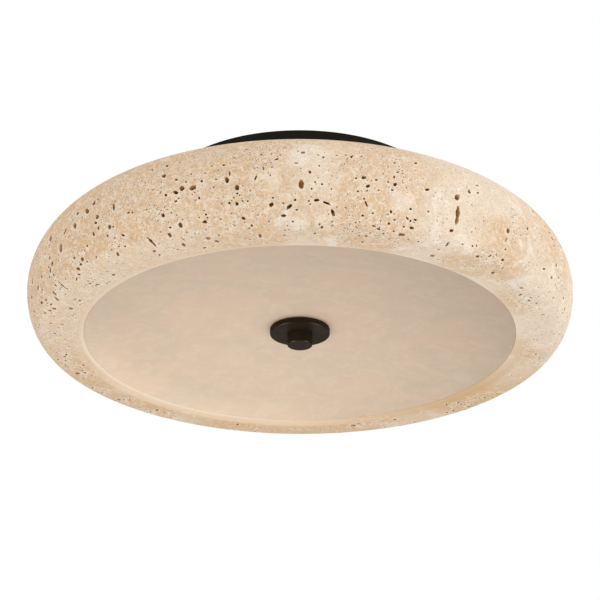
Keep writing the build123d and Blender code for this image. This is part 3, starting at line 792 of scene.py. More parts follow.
@dataclass(frozen=True)
class Metal(Finish):
    """Turned or plated metal with fine lathe rings, handled roughness and painted glints on marked edges."""

    colour: Colour
    tarnish: Colour
    roughness: float
    metallic: float = 1.0
    rings: float = 0.12
    specular: float = 0.5
    # Colour of the painted glints on marked edges
    painted_glint_colour: Colour = linear(214, 210, 202)

    def material(self) -> Material:
        """Mixes plate and tarnish, paints the glints, with rings in the relief."""
        coat = Coat(self.name)
        spots = coat.effect(EFFECTS.clouds, Scale=90.0, Low=0.4, High=0.75)
        lathe = coat.effect(EFFECTS.turning, Pitch=2200.0)
        plate = coat.mix(spots, self.colour, self.tarnish)
        return coat.done({
            # Painted glints: marked edges take the glint colour
            "Base Color": coat.mix(coat.value("worn"), plate, self.painted_glint_colour),
            "Metallic": self.metallic,
            "Roughness": coat.effect(EFFECTS.handling, Scale=80.0, Base=self.roughness, Spread=0.12),
            "Specular IOR Level": self.specular,
            "Normal": coat.bump(lathe, strength=self.rings, distance=0.0002),
        })


@dataclass(frozen=True)
class Soft(Finish):
    """Rubber, felt, nylon, porcelain or woven sleeve: a matte body with its own grain."""

    colour: Colour
    shade: Colour
    roughness: float
    grain: float
    relief: float

    def material(self) -> Material:
        """Mixes two tones by the grain, which also gives the relief."""
        coat = Coat(self.name)
        grain = coat.effect(EFFECTS.grain, Scale=self.grain)
        return coat.done({
            "Base Color": coat.mix(grain, self.colour, self.shade),
            "Roughness": coat.effect(EFFECTS.handling, Scale=70.0, Base=self.roughness, Spread=0.08),
            "Normal": coat.bump(grain, strength=self.relief, distance=0.0004),
        })


FINISHES: tuple[Finish, ...] = (
    Travertine("travertine", "travertine"),
    Opal("opal dish", "opal_acrylic"),
    Enamel("black canopy enamel", "black_enamel"),
    Enamel(
        "white tray enamel", "white_enamel", linear(236, 236, 232), linear(228, 227, 222),
        roughness=0.38, specular=0.5,
    ),
    Enamel(
        "green ground screw", "green_screw", linear(52, 128, 66), linear(40, 108, 54),
        roughness=0.35, specular=0.5,
    ),
    Metal(
        "dark bronze", "dark_bronze", linear(46, 36, 26), linear(38, 29, 20),
        roughness=0.5, metallic=0.0, rings=0.08, specular=0.02, painted_glint_colour=linear(150, 130, 108),
    ),
    Metal("zinc plate", "zinc_steel", linear(196, 196, 194), linear(164, 164, 164), roughness=0.34),
    Metal("plain brass", "brass", linear(206, 172, 104), linear(170, 132, 72), roughness=0.3),
    Metal("nickel plate", "nickel", linear(204, 200, 190), linear(178, 172, 160), roughness=0.24),
    Soft(
        "white porcelain", "porcelain", linear(232, 230, 222), linear(222, 219, 208),
        roughness=0.45, grain=500.0, relief=0.1,
    ),
    Soft(
        "opal bulb", "opal_bulb", linear(240, 239, 233), linear(233, 231, 224),
        roughness=0.5, grain=900.0, relief=0.05,
    ),
    Soft(
        "white nylon", "white_nylon", linear(228, 227, 220), linear(216, 214, 206),
        roughness=0.5, grain=700.0, relief=0.15,
    ),
    Soft(
        "grey silicone", "silicone", linear(196, 193, 186), linear(182, 178, 170),
        roughness=0.45, grain=600.0, relief=0.12,
    ),
    Soft(
        "woven sleeve", "lead_sleeve", linear(226, 222, 212), linear(186, 180, 168),
        roughness=0.8, grain=1500.0, relief=0.7,
    ),
    Soft(
        "foam gasket", "foam_rubber", linear(36, 36, 36), linear(22, 22, 22),
        roughness=0.85, grain=1100.0, relief=0.6,
    ),
    Soft(
        "pressed felt", "felt", linear(190, 184, 172), linear(158, 150, 138),
        roughness=0.95, grain=1300.0, relief=0.8,
    ),
)


class Palette:
    """One material for each finish on the light, built once."""

    def __init__(self) -> None:
        """Builds the materials, keyed by the record's slot."""
        self.by_slot = {finish.slot: finish.material() for finish in FINISHES}
        rows = frame["record"]["subparts"]
        self.slot_of = {row["node"]: row["material_slot"] for row in rows}

    def show(self, surface: Surface, node: str, body: Body, sharp: float = SHARP) -> None:
        """Puts a surface in the scene in place of a node.

        Args:
            surface: the piece's shape.
            node: the node that it stands for, which also gives its finish.
            body: the body that it rides on.
            sharp: edges that fold by more than this many degrees stay sharp.
        """
        piece = bpy.data.objects.new(f"{node}_piece", surface.mesh(f"{node}_mesh", sharp))
        bpy.context.scene.collection.objects.link(piece)
        slot = self.slot_of[node]
        piece.data.materials.append(self.by_slot[slot])
        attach(piece, body.value)
        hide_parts(node)
        LOG.info("%s: %d faces", piece.name, len(piece.data.polygons))

    def show_fixed(self, made: dict[str, Surface]) -> None:
        """Puts surfaces that ride on the fixture in the scene, each in place of the node it is named by."""
        for node, surface in made.items():
            self.show(surface, node, Body.FIXTURE)

    def dress(self, *nodes: str) -> None:
        """Gives nodes that keep their own solid the material of their slot."""
        for node in nodes:
            mesh = frame["nodes"][node].data
            mesh.materials.clear()
            mesh.materials.append(self.by_slot[self.slot_of[node]])
            LOG.info("%s keeps its solid", node)


# The light's own pieces


@dataclass(frozen=True)
class PhotoView:
    """How the photo looks at the light: from below the near side, with a slight roll.

    Aim and distance are in metres, and the picture's width is in picture points.
    """

    aim: Point = (0.0, 0.0, -0.099)
    distance: float = 2.4
    below: float = 24.625
    roll: float = 0.195
    lens: float = 171.35
    sensor: float = 36.0
    picture: float = 600.0

    def axes(self) -> Array:
        """The camera's right, up and forward directions, one in each row."""
        turn, roll = np.radians(self.below), np.radians(self.roll)
        forward = np.array([0.0, np.cos(turn), np.sin(turn)])
        level = np.array([1.0, 0.0, 0.0])
        upright = np.cross(level, forward)
        right = np.cos(roll) * level + np.sin(roll) * upright
        return np.stack([right, np.cos(roll) * upright - np.sin(roll) * level, forward])

    def eye(self) -> Array:
        """Where the camera stands."""
        return np.array(self.aim) - self.distance * self.axes()[2]

    def scale(self) -> float:
        """Picture points per millimetre at the aim: picture * lens / sensor / distance."""
        return self.picture * self.lens / self.sensor / self.distance * MM

    def project(self, points: Array) -> Array:
        """Picture places of points: half the picture + scale * (side, -up) * distance / depth.

        Args:
            points: places in millimetres, with x, y, z last.

        Returns:
            Column and row in the picture, last.
        """
        side, up, depth = np.moveaxis((points * MM - self.eye()) @ self.axes().T, -1, 0)
        zoom = self.scale() / MM * self.distance / depth
        return 0.5 * self.picture + np.stack([zoom * side, -zoom * up], axis=-1)


PHOTO = PhotoView()


@dataclass(frozen=True)
class Pit:
    """One open pit in the stone, as it was read off the photo.

    Attributes:
        x, y: column and row of its middle in the photo, which is 600 wide and high.
        wide, high: size of its mouth as seen, in millimetres.
        tilt: degrees by which the mouth leans in the photo.
        bend: how far its two ends are bent down from its middle.
    """

    x: float
    y: float
    wide: float
    high: float
    tilt: float = 0.0
    bend: float = 0.0


@dataclass
class StoneShade:
    """The turned travertine ring: rolled outside, flat lip, rebate, cavity and web, with open pits.

    Pits are rows of across, drop, width, height, tilt and bend.

    Attributes:
        edge_clear, pit_gap: bare stone from a mouth to the opening's edge, and to the next mouth.
        small_pit, small_span, small_fade: height below which mouths start to count as small, the span
            over which they do, and how much fainter the faintest of them is.
        seen_half, seen_thinning: bearing up to which the photo shows the stone, and the share of drawn
            pits left out there.
        bead_reach, skin_clear: radius of a mouth's circles, and of the skin cut out round it, over its size.
        size_limits: widths that part small, middling and large mouths.
        bare_from, bare_span: distance from the opening where plain stone starts, and its fade.
        search_half, search_top, search_steps: where on the skin the photo's pits are looked for.
        brace: distance from an edge of the rows that keep its shading flat.
    """

    radius: float = 228.5
    upper_width: float = 56.0
    upper_height: float = 54.0
    lower_width: float = 22.0
    lower_height: float = 37.0
    top: float = -45.0
    hole_radius: float = 100.0
    skin_start: float = 114.0
    web_bottom: float = -63.0
    cavity_radius: float = 172.0
    cavity_round: float = 8.0
    shoulder: float = -127.79
    opening_radius: float = 180.0
    edge_round: float = 0.8
    border_width: float = 11.5
    border_rise: float = 1.0
    edge_clear: float = 2.0
    pit_gap: float = 0.2
    small_fade: float = 0.8
    small_pit: float = 1.8
    small_span: float = 0.8
    widest: float = 5.2
    seam_clear: float = 8.0
    seen_half: float = 62.0
    seen_thinning: float = 0.15
    bead_reach: float = 0.61
    skin_clear: float = 0.64
    size_limits: Pair = (1.55, 2.7)
    largest: Pair = (20.0, 4.8)
    depth_share: float = 1.15
    depth_range: Pair = (0.6, 4.8)
    smooth_above: float = -26.0
    smooth_thinning: float = 0.45
    bare_from: float = 6.0
    bare_span: float = 3.0
    search_half: float = 95.0
    search_top: float = -45.0
    search_steps: tuple[int, int] = (1141, 294)
    web_rows: Pair = (150.0, 125.0)
    brace: float = 0.3
    sharp: float = 38.0
    columns: int = 240
    rows: int = 66
    seed: int = 11

    def __post_init__(self) -> None:
        """Tables of radius, height and outward direction along the outer profile."""
        self.equator = self.top - self.upper_height
        self.lip = self.equator - self.lower_height
        quarter = np.linspace(0.5 * np.pi, 0.0, 400)
        upper = self.radius - self.upper_width + self.upper_width * np.cos(quarter)
        lower = self.radius - self.lower_width + self.lower_width * np.sin(quarter)
        flat = np.linspace(self.skin_start, upper[0], 60, endpoint=False)
        lip_flat = np.linspace(lower[-1], self.opening_radius + self.border_width, 40)[1:]
        border = np.linspace(lip_flat[-1], self.opening_radius + self.edge_round, 40)[1:]
        radius = np.concatenate([flat, upper, lower[1:], lip_flat, border])
        height = np.concatenate([
            np.full(len(flat), self.top),
            self.equator + self.upper_height * np.sin(quarter),
            self.equator - self.lower_height * np.cos(quarter)[1:],
            np.full(len(lip_flat), self.lip),
            np.linspace(self.lip, self.lip + self.border_rise, len(border) + 1)[1:],
        ])
        along = np.concatenate([[0.0], np.cumsum(np.hypot(np.diff(radius), np.diff(height)))])
        self.along = along - along[len(flat) + len(upper) - 1]
        self.border_start = float(self.along[-len(border) - 1])
        run = np.gradient(radius, along)
        rise = np.gradient(height, along)
        self.profile = np.stack([radius, height, -rise, run])

    def place(self, across: Array, drop: Array, depth: Array | float = 0.0) -> Array:
        """Carries skin coordinates onto the ring.

        The bearing is across / radius. The drop gives the profile's radius and height, and the depth
        moves the point inwards along the profile's normal.

        Args:
            across: distance round the widest ring from the near side.
            drop: distance along the profile below the widest ring.
            depth: distance below the skin.

        Returns:
            Points with x, y, z in the last place.
        """
        radius, height, out, up = (np.interp(drop, self.along, row) for row in self.profile)
        bearing = across / self.radius
        reach = radius - depth * out
        return np.stack([reach * np.sin(bearing), -reach * np.cos(bearing), height - depth * up], axis=-1)

    def cloud(self, points: Array) -> Array:
        """How pale the stone is: 36 cosine waves in space and a drift along x, squeezed to 0..1.

        Args:
            points: places in the stone.

        Returns:
            0 for tan to 1 for cream.
        """
        draw = np.random.default_rng(self.seed + 1)
        count = 36
        length = draw.uniform(24.0, 110.0, count)
        heading = draw.normal(size=(count, 3))
        heading *= (TURN / length / np.linalg.norm(heading, axis=1))[:, None]
        phase = draw.uniform(0.0, TURN, count)
        weight = length**0.6
        waves = np.cos(points @ heading.T + phase) @ weight
        spread = np.sqrt(0.5 * (weight**2).sum())
        return 0.5 + 0.5 * np.tanh(0.7 * waves / spread + 1.5 * points[:, 0] / self.radius)

    def scatter(self) -> Array:
        """Draws the unplaced pits: clusters of specks, wandering chains of them, and single holes.

        Returns:
            One row per pit.
        """
        draw = np.random.default_rng(self.seed)
        half = np.pi * self.radius - self.seam_clear
        seen_reach = np.radians(self.seen_half) * self.radius
        hearts, specks, chains, links, holes = 210, 4200, 150, 9, 850

        def spots(count: int, high: float, low: float) -> Array:
            """Random places on the skin between two drops."""
            return np.stack([draw.uniform(-half, half, count), draw.uniform(high, low, count)], axis=1)

        heart = spots(hearts, -90.0, 66.0)
        cluster = heart[draw.integers(0, hearts, specks)] + draw.normal(size=(specks, 2)) * [7.0, 4.6]
        chain = np.repeat(np.arange(chains), links)
        step = np.tile(np.arange(links), chains)
        heading = draw.normal(0.0, 0.7, chains)[chain] + draw.normal(0.0, 0.12, chains)[chain] * step
        start = spots(chains, -80.0, 60.0)[chain]
        reach = step * draw.uniform(1.6, 3.2, chains)[chain] + draw.normal(0.0, 0.3, len(step))
        row = start + reach[:, None] * np.stack([np.cos(heading), np.sin(heading)], axis=1)
        hole = spots(holes, -70.0, 60.0)
        hole = hole[np.abs(hole[:, 0]) > seen_reach]
        width = np.concatenate([
            np.exp(draw.normal(0.2, 0.5, specks)),
            np.exp(draw.normal(0.2, 0.34, len(row))),
            np.exp(draw.normal(0.9, 0.35, len(hole))),
        ])
        width = np.minimum(width, self.widest)
        squash = np.concatenate([
            draw.uniform(0.3, 0.9, specks),
            draw.uniform(0.35, 0.75, len(row)),
            draw.uniform(0.5, 1.1, len(hole)),
        ])
        lean = np.concatenate([
            draw.uniform(-70.0, 70.0, specks), np.degrees(heading), draw.uniform(-80.0, 80.0, len(hole))
        ])
        middle = np.concatenate([cluster, row, hole])
        rows = np.column_stack([middle, width, width * squash, lean, np.zeros(len(width))])
        pale = self.cloud(self.place(rows[:, 0], rows[:, 1]))
        smooth_top = np.where(rows[:, 1] < self.smooth_above, self.smooth_thinning, 0.0)
        near = np.abs(rows[:, 0]) < seen_reach
        thinned = 0.05 + 0.5 * pale + smooth_top + self.seen_thinning * near
        keep = draw.uniform(0.0, 1.0, len(rows)) > thinned
        inside = (np.abs(rows[:, 0]) < half) & (rows[:, 1] > -98.0) & (rows[:, 1] < self.along[-1] - 5.0)
        return rows[keep & inside]

    def stretch(self, drop: Array) -> Array:
        """How much wider a length round the stone becomes in skin coordinates: radius / radius there."""
        return self.radius / np.interp(drop, self.along, self.profile[0])

    def seen(self, pits: tuple[Pit, ...]) -> Array:
        """Finds pits of the photo on the stone, each at the nearest seen point of a fine grid.

        A mouth's two axes go from the picture to the skin through the inverse of the picture's slope there,
        and the singular values and first singular direction of the result are its size and lean.

        Args:
            pits: the pits, by their place in the photo.

        Returns:
            One row per pit.
        """
        columns, rows = self.search_steps
        bearing = np.radians(np.linspace(-self.search_half, self.search_half, columns))
        down = np.linspace(self.search_top, self.along[-1], rows)
        across, drop = np.meshgrid(bearing * self.radius, down)
        points = self.place(across, drop)
        faced = ((points - self.place(across, drop, 1.0)) * (PHOTO.eye() / MM - points)).sum(axis=-1) > 0.0
        picture = np.where(faced[..., None], PHOTO.project(points), np.inf)
        found = []
        for pit in pits:
            spot = np.argmin(np.hypot(*np.moveaxis(picture - [pit.x, pit.y], -1, 0)))
            here = np.array([across.flat[spot], drop.flat[spot]])
            steps = here + np.array([[0.5, 0.0], [-0.5, 0.0], [0.0, 0.5], [0.0, -0.5]])
            near = PHOTO.project(self.place(*steps.T))
            slope = np.stack([(near[0] - near[1]) * self.stretch(here[1]), near[2] - near[3]], axis=1)
            lean = np.radians(pit.tilt)
            turn = np.array([[np.cos(lean), -np.sin(lean)], [np.sin(lean), np.cos(lean)]])
            axes = np.linalg.inv(slope) @ turn @ np.diag([pit.wide, pit.high]) * PHOTO.scale()
            heading, size, _ = np.linalg.svd(axes)
            tilt = np.degrees(np.arctan(heading[1, 0] / heading[0, 0]))
            found.append([*here, *np.minimum(size, self.largest), tilt, pit.bend])
        return np.array(found)

    def beads(self, rows: Array, count: int = 9) -> Array:
        """Circles that cover each mouth: a row of them along its length, bent as it is.

        Args:
            rows: one row per pit.
            count: circles to a pit.

        Returns:
            Across, drop and radius, by pit and by circle.
        """
        step = np.linspace(-1.0, 1.0, count)
        reach = self.bead_reach
        side = reach * (rows[:, 2:3] - rows[:, 3:4]) * step
        down = rows[:, 5:6] * (step**2 - 0.5)
        lean = np.radians(rows[:, 4:5])
        stretch = self.stretch(rows[:, 1:2])
        across = rows[:, 0:1] + stretch * (side * np.cos(lean) - down * np.sin(lean))
        drop = rows[:, 1:2] + side * np.sin(lean) + down * np.cos(lean)
        radius = np.broadcast_to(reach * rows[:, 3:4] * stretch, across.shape)
        return np.stack([across, drop, radius], axis=-1)

    def mouths(self) -> Array:
        """All pits, the photo's first, without any that touch an earlier one or reach the opening's edge.

        Returns:
            One row per pit.
        """
        drawn = self.scatter()
        rows = np.concatenate([self.seen(SEEN_PITS), drawn[np.argsort(-drawn[:, 2], kind="stable")]])
        beads = self.beads(rows)
        lowest = (beads[..., 1] + beads[..., 2]).max(axis=1)
        reach = self.bead_reach * rows[:, 2:4].max(axis=1) * self.stretch(rows[:, 1]) + np.abs(rows[:, 5])
        kept: list[int] = []
        for number in np.flatnonzero(lowest < self.along[-1] - self.edge_clear):
            away = np.hypot(*(rows[kept, :2] - rows[number, :2]).T)
            close = np.array(kept, int)[away < reach[kept] + reach[number] + self.pit_gap]
            own, others = beads[number], beads[close].reshape(-1, 3)
            away = np.hypot(*np.moveaxis(own[:, None, :2] - others[:, :2], -1, 0))
            if not np.any(away < own[:, None, 2] + others[:, 2] + self.pit_gap):
                kept.append(number)
        found = np.sum(np.array(kept) < len(SEEN_PITS))
        LOG.info("%d pits, with %d of the photo's %d", len(kept), found, len(SEEN_PITS))
        return rows[kept]

    def outlines(self, mouths: Array, count: int, seed: int) -> Array:
        """Ragged mouths: blunt, leaning ellipses of radius 1 + a sum of cosines of 2 to 5 times the angle.

        A long mouth also swells and pinches by a cosine along its length.

        Args:
            mouths: one row per pit.
            count: points on each outline.
            seed: start of the random draw.

        Returns:
            Skin coordinates, by pit and by point.
        """
        draw = np.random.default_rng(seed)
        angle = np.arange(count) * TURN / count
        order = np.arange(2, 6)
        swell = draw.normal(0.0, 0.1, (len(mouths), 4)) / np.sqrt(order / 2.0)
        swell *= np.clip(2.4 / mouths[:, 3:4], 0.5, 1.0)
        phase = draw.uniform(0.0, TURN, (len(mouths), 4))
        wave = np.cos(order[None, :, None] * angle[None, None, :] + phase[..., None])
        reach = np.clip(1.0 + (swell[..., None] * wave).sum(axis=1), 0.65, 1.22)
        out = reach * np.cos(angle)
        side = 0.5 * mouths[:, 2:3] * out
        pinch = np.clip(0.1 * (mouths[:, 2:3] / mouths[:, 3:4] - 1.5), 0.0, 0.4)
        fat = np.clip(reach * (1.0 + pinch * np.cos(7.0 * out + phase[:, :1])), 0.5, 1.22)
        blunt = np.sign(np.sin(angle)) * np.abs(np.sin(angle)) ** 0.75
        down = 0.5 * mouths[:, 3:4] * fat * blunt + mouths[:, 5:6] * (out**2 - 0.5)
        lean = np.radians(mouths[:, 4:5])
        across = mouths[:, 0:1] + self.stretch(mouths[:, 1:2]) * (side * np.cos(lean) - down * np.sin(lean))
        return np.stack([across, mouths[:, 1:2] + side * np.sin(lean) + down * np.cos(lean)], axis=-1)

    def build(self) -> Surface:
        """The whole ring: a skin grid cut round every mouth, lofted pits below it, and the inner lathe.

        Returns:
            The closed surface, with the point values hollow, pale, bare and rim.
        """
        mouths = self.mouths()
        order = np.searchsorted(self.size_limits, mouths[:, 2])
        deep_rings, one_ring = ((0.94, 0.4, 0.6), (0.72, 0.82, 0.95)), ((0.8, 0.65, 0.85),)
        families = [
            (mouths[order == size], self.outlines(mouths[order == size], count, self.seed + 2 + size), rings)
            for size, count, rings in ((2, 24, deep_rings), (1, 9, deep_rings), (0, 6, one_ring))
        ]
        skin, base = self._skin_grid(mouths)
        corners, edges, owner, place_in = [skin], [], [np.full(len(skin), -1)], [np.zeros(len(skin), int)]
        sizes = [np.ones(len(skin), int)]
        first, rims, pits = len(skin), [], 0
        for _, outline, _ in families:
            number, count = outline.shape[:2]
            index = first + np.arange(number * count).reshape(number, count)
            edges.append(np.stack([index, np.roll(index, -1, axis=1)], axis=-1).reshape(-1, 2))
            owner.append(np.repeat(pits + np.arange(number), count))
            place_in.append(np.tile(np.arange(count), number))
            sizes.append(np.full(number * count, count))
            corners.append(outline.reshape(-1, 2))
            rims.append(index)
            first, pits = first + number * count, pits + number
        flat = np.concatenate(corners)
        triangles = self._cut(flat, np.concatenate(edges), *map(np.concatenate, (owner, place_in, sizes)))
        points = [self.place(flat[:, 0], flat[:, 1])]
        hollow = [np.zeros(len(flat))]
        faces, quads, total = [triangles[:, ::-1]], [], len(flat)
        for (rows, outline, rings), rim in zip(families, rims):
            wall, fan, loft, value = self._loft(rows, outline, rim, total, rings)
            points.append(loft)
            hollow.append(value)
            quads.append(wall)
            faces.append(fan)
            total += len(loft)
        lathe, lathe_quads = self._inside(base, total)
        points.append(lathe)
        hollow.append(np.zeros(len(lathe)))
        quads.append(lathe_quads)
        surface = Surface(np.concatenate(points), np.concatenate(quads), np.concatenate(faces))
        bare = np.ones(len(surface.points))
        bare[: len(flat)] = np.clip((flat[:, 1] - self.along[-1] + self.bare_from) / self.bare_span, 0.0, 1.0)
        # Painted highlight along each pit mouth, strongest on its lower edge as if lit from above
        rim = np.zeros(len(surface.points))
        rim[len(skin) : len(flat)] = np.concatenate([
            0.6 + 0.4 * self._downward(outline).ravel() for _, outline, _ in families
        ])
        surface.values = {
            "hollow": np.concatenate(hollow), "pale": self.cloud(surface.points), "bare": bare, "rim": rim
        }
        return self._sewn(surface, base)

    def _skin_grid(self, mouths: Array) -> tuple[Array, Array]:
        """Even grid over the skin, without the points that lie in or close to a mouth.

        Args:
            mouths: one row per pit.

        Returns:
            The points kept, and the number of each grid point among them or -1.
        """
        across = np.linspace(-np.pi * self.radius, np.pi * self.radius, self.columns + 1)
        drop = np.linspace(self.along[0], self.border_start - 0.2, self.rows - 5)
        drop = np.concatenate([drop, np.linspace(self.border_start + 0.2, self.along[-1], 5)])
        grid = np.stack(np.meshgrid(across, drop), axis=-1).reshape(-1, 2)
        clear = np.ones(len(grid), bool)
        for row in mouths:
            reach = self.skin_clear * max(row[2], row[3]) * self.stretch(row[1]) + 0.5
            clear &= np.hypot(*(grid - row[:2]).T) >= reach
        base = np.where(clear, np.cumsum(clear) - 1, -1).reshape(self.rows, self.columns + 1)
        return grid[clear], base

    @staticmethod
    def _cut(
        flat: Array, edges: Array, owner: Array, place_in: Array, sizes: Array
    ) -> Array:
        """Triangles of the skin that keep every outline as edges, without those inside a mouth.

        A triangle is inside when its corners follow one outline in that outline's own order.

        Args:
            flat: skin coordinates of all points.
            edges: pairs of points that must stay joined.
            owner: the pit whose outline each point is on, or -1.
            place_in: each point's place in its outline.
            sizes: how many points that outline has.

        Returns:
            Point numbers of the triangles, anticlockwise in skin coordinates.
        """
        vectors = [Vector(pair) for pair in flat.tolist()]
        _, _, faces, origins, _, _ = delaunay_2d_cdt(vectors, edges.tolist(), [], 0, 1e-7, True)
        source = np.array([origin[0] for origin in origins])
        triangles = source[np.array(faces)]
        one = (owner[triangles] == owner[triangles[:, :1]]).all(axis=1) & (owner[triangles[:, 0]] >= 0)
        count = sizes[triangles[:, 0]]
        turn = ((np.roll(place_in[triangles], -1, axis=1) - place_in[triangles]) % count[:, None]).sum(axis=1)
        return triangles[~(one & (turn == count))]

    @staticmethod
    def _downward(outline: Array) -> Array:
        """How far down its mouth each point is: -1 at the upper edge to 1 at the lower edge."""
        down = outline[..., 1] - outline[..., 1].mean(axis=1, keepdims=True)
        return down / np.abs(down).max(axis=1, keepdims=True)

    def _loft(
        self, rows: Array, outline: Array, rim: Array, first: int, rings: tuple[Point, ...]
    ) -> tuple[Array, Array, Array, Array]:
        """Pit walls: the mouth's outline, drawn together ring by ring as it goes down, closed by a point.

        Args:
            rows: the pits.
            outline: skin coordinates of their mouths.
            rim: point numbers of their mouths.
            first: number of the first new point.
            rings: for each ring its share of the mouth's width, its share of the depth and its hollow value.

        Returns:
            The wall's quads, the floor's triangles, the new points and their hollow values.
        """
        number, count = outline.shape[:2]
        depth = np.clip(self.depth_share * rows[:, 3], *self.depth_range)
        centre = outline.mean(axis=1, keepdims=True)
        # Painted light and shade in the pits: the lower side of each mouth's walls is lighter, as if lit, and
        # narrow pits are darker than wide ones, whose floors would be lit
        lit = 1.0 - 0.45 * np.clip(self._downward(outline), 0.0, 1.0)
        dark = np.clip(1.32 - 0.15 * rows[:, 3], 0.66, 1.0)
        small = np.clip((self.small_pit - rows[:, 3]) / self.small_span, 0.0, 1.0)
        faint = self.small_fade * small * (0.5 + 0.5 * np.sin(12.9 * rows[:, 0] + 7.3 * rows[:, 1]))
        dark *= 1.0 - faint
        depth *= 1.0 - faint
        ring_size = number * count
        index = np.arange(ring_size).reshape(number, count)
        levels, loft, value = [rim], [], []
        for place_in, (share, down, hollow) in enumerate(rings):
            ring_ = centre + share * (outline - centre)
            deep = np.broadcast_to(down * depth[:, None], (number, count))
            loft.append(self.place(ring_[..., 0], ring_[..., 1], deep).reshape(-1, 3))
            value.append((hollow * lit * dark[:, None]).ravel())
            levels.append(first + place_in * ring_size + index)
        loft.append(self.place(centre[:, 0, 0], centre[:, 0, 1], depth))
        value.append(dark)
        lower = levels[-1]
        floor = first + len(rings) * ring_size + np.arange(number)[:, None]
        walls = [
            np.stack([high, low, np.roll(low, -1, axis=1), np.roll(high, -1, axis=1)], axis=-1).reshape(-1, 4)
            for high, low in zip(levels, levels[1:])
        ]
        fan = np.stack([lower, np.broadcast_to(floor, lower.shape), np.roll(lower, -1, axis=1)], axis=-1)
        return np.concatenate(walls), fan.reshape(-1, 3), np.concatenate(loft), np.concatenate(value)

    def _inside(self, base: Array, first: int) -> tuple[Array, Array]:
        """Lathe from the lip's inner edge through rebate, cavity and web back to the top face.

        Args:
            base: numbers of the skin's grid points.
            first: number of the first new point.

        Returns:
            The new points and the quads that join them to the skin's two borders.
        """
        turn = np.linspace(0.0, 0.5 * np.pi, 6)[1:]
        ease = np.stack([
            self.opening_radius + self.edge_round * (1.0 - np.sin(turn)),
            self.lip + self.border_rise + self.edge_round * (1.0 - np.cos(turn)),
        ], axis=1)
        bend = np.linspace(0.0, 0.5 * np.pi, 7)
        fillet = np.stack([
            self.cavity_radius - self.cavity_round * (1.0 - np.cos(bend)),
            self.web_bottom - self.cavity_round * (1.0 - np.sin(bend)),
        ], axis=1)
        wall_end = self.web_bottom - self.cavity_round
        brace, shoulder, low, top = self.brace, self.shoulder, self.web_bottom, self.top
        opening, cavity, hole = self.opening_radius, self.cavity_radius, self.hole_radius
        straight = [
            (opening, shoulder - brace), (opening, shoulder), (opening - brace, shoulder),
            (cavity + brace, shoulder), (cavity, shoulder), (cavity, shoulder + brace),
            (cavity, 0.5 * (shoulder + wall_end)), (cavity, wall_end - brace),
        ]
        web = [
            (cavity - self.cavity_round - brace, low), *((radius, low) for radius in self.web_rows),
            (hole + brace, low), (hole, low), (hole, low + brace),
            (hole, top - brace), (hole, top), (hole + brace, top),
        ]
        rows = np.concatenate([ease, straight, fillet, web])
        bearing = np.linspace(-np.pi, np.pi, self.columns + 1)[None, :]
        reach, height = rows[:, :1], np.broadcast_to(rows[:, 1:], (len(rows), self.columns + 1))
        points = np.stack([reach * np.sin(bearing), -reach * np.cos(bearing), height], axis=-1).reshape(-1, 3)
        index = first + np.arange(len(points)).reshape(len(rows), -1)
        index = np.concatenate([base[-1:], index, base[:1]])
        quads = np.stack([index[:-1, :-1], index[1:, :-1], index[1:, 1:], index[:-1, 1:]], axis=-1)
        self.lathe_rows = index[1:-1]
        return points, quads.reshape(-1, 4)

    def _sewn(self, surface: Surface, base: Array) -> Surface:
        """Joins the last column to the first, and drops points that no face uses.

        Args:
            surface: the ring with an open seam at its far side.
            base: numbers of the skin's grid points.

        Returns:
            The closed ring.
        """
        number = np.arange(len(surface.points))
        number[base[:, -1]] = base[:, 0]
        number[self.lathe_rows[:, -1]] = self.lathe_rows[:, 0]
        quads, triangles = number[surface.quads], number[surface.triangles]
        used = np.unique(np.concatenate([quads.ravel(), triangles.ravel()]))
        fresh = np.zeros(len(number), int)
        fresh[used] = np.arange(len(used))
        values = {label: value[used] for label, value in surface.values.items()}
        return Surface(surface.points[used], fresh[quads], fresh[triangles], values)

    def show(self, palette: Palette) -> None:
        """Builds and dresses the ring."""
        palette.show(self.build(), "stone_shade", Body.FIXTURE, self.sharp)


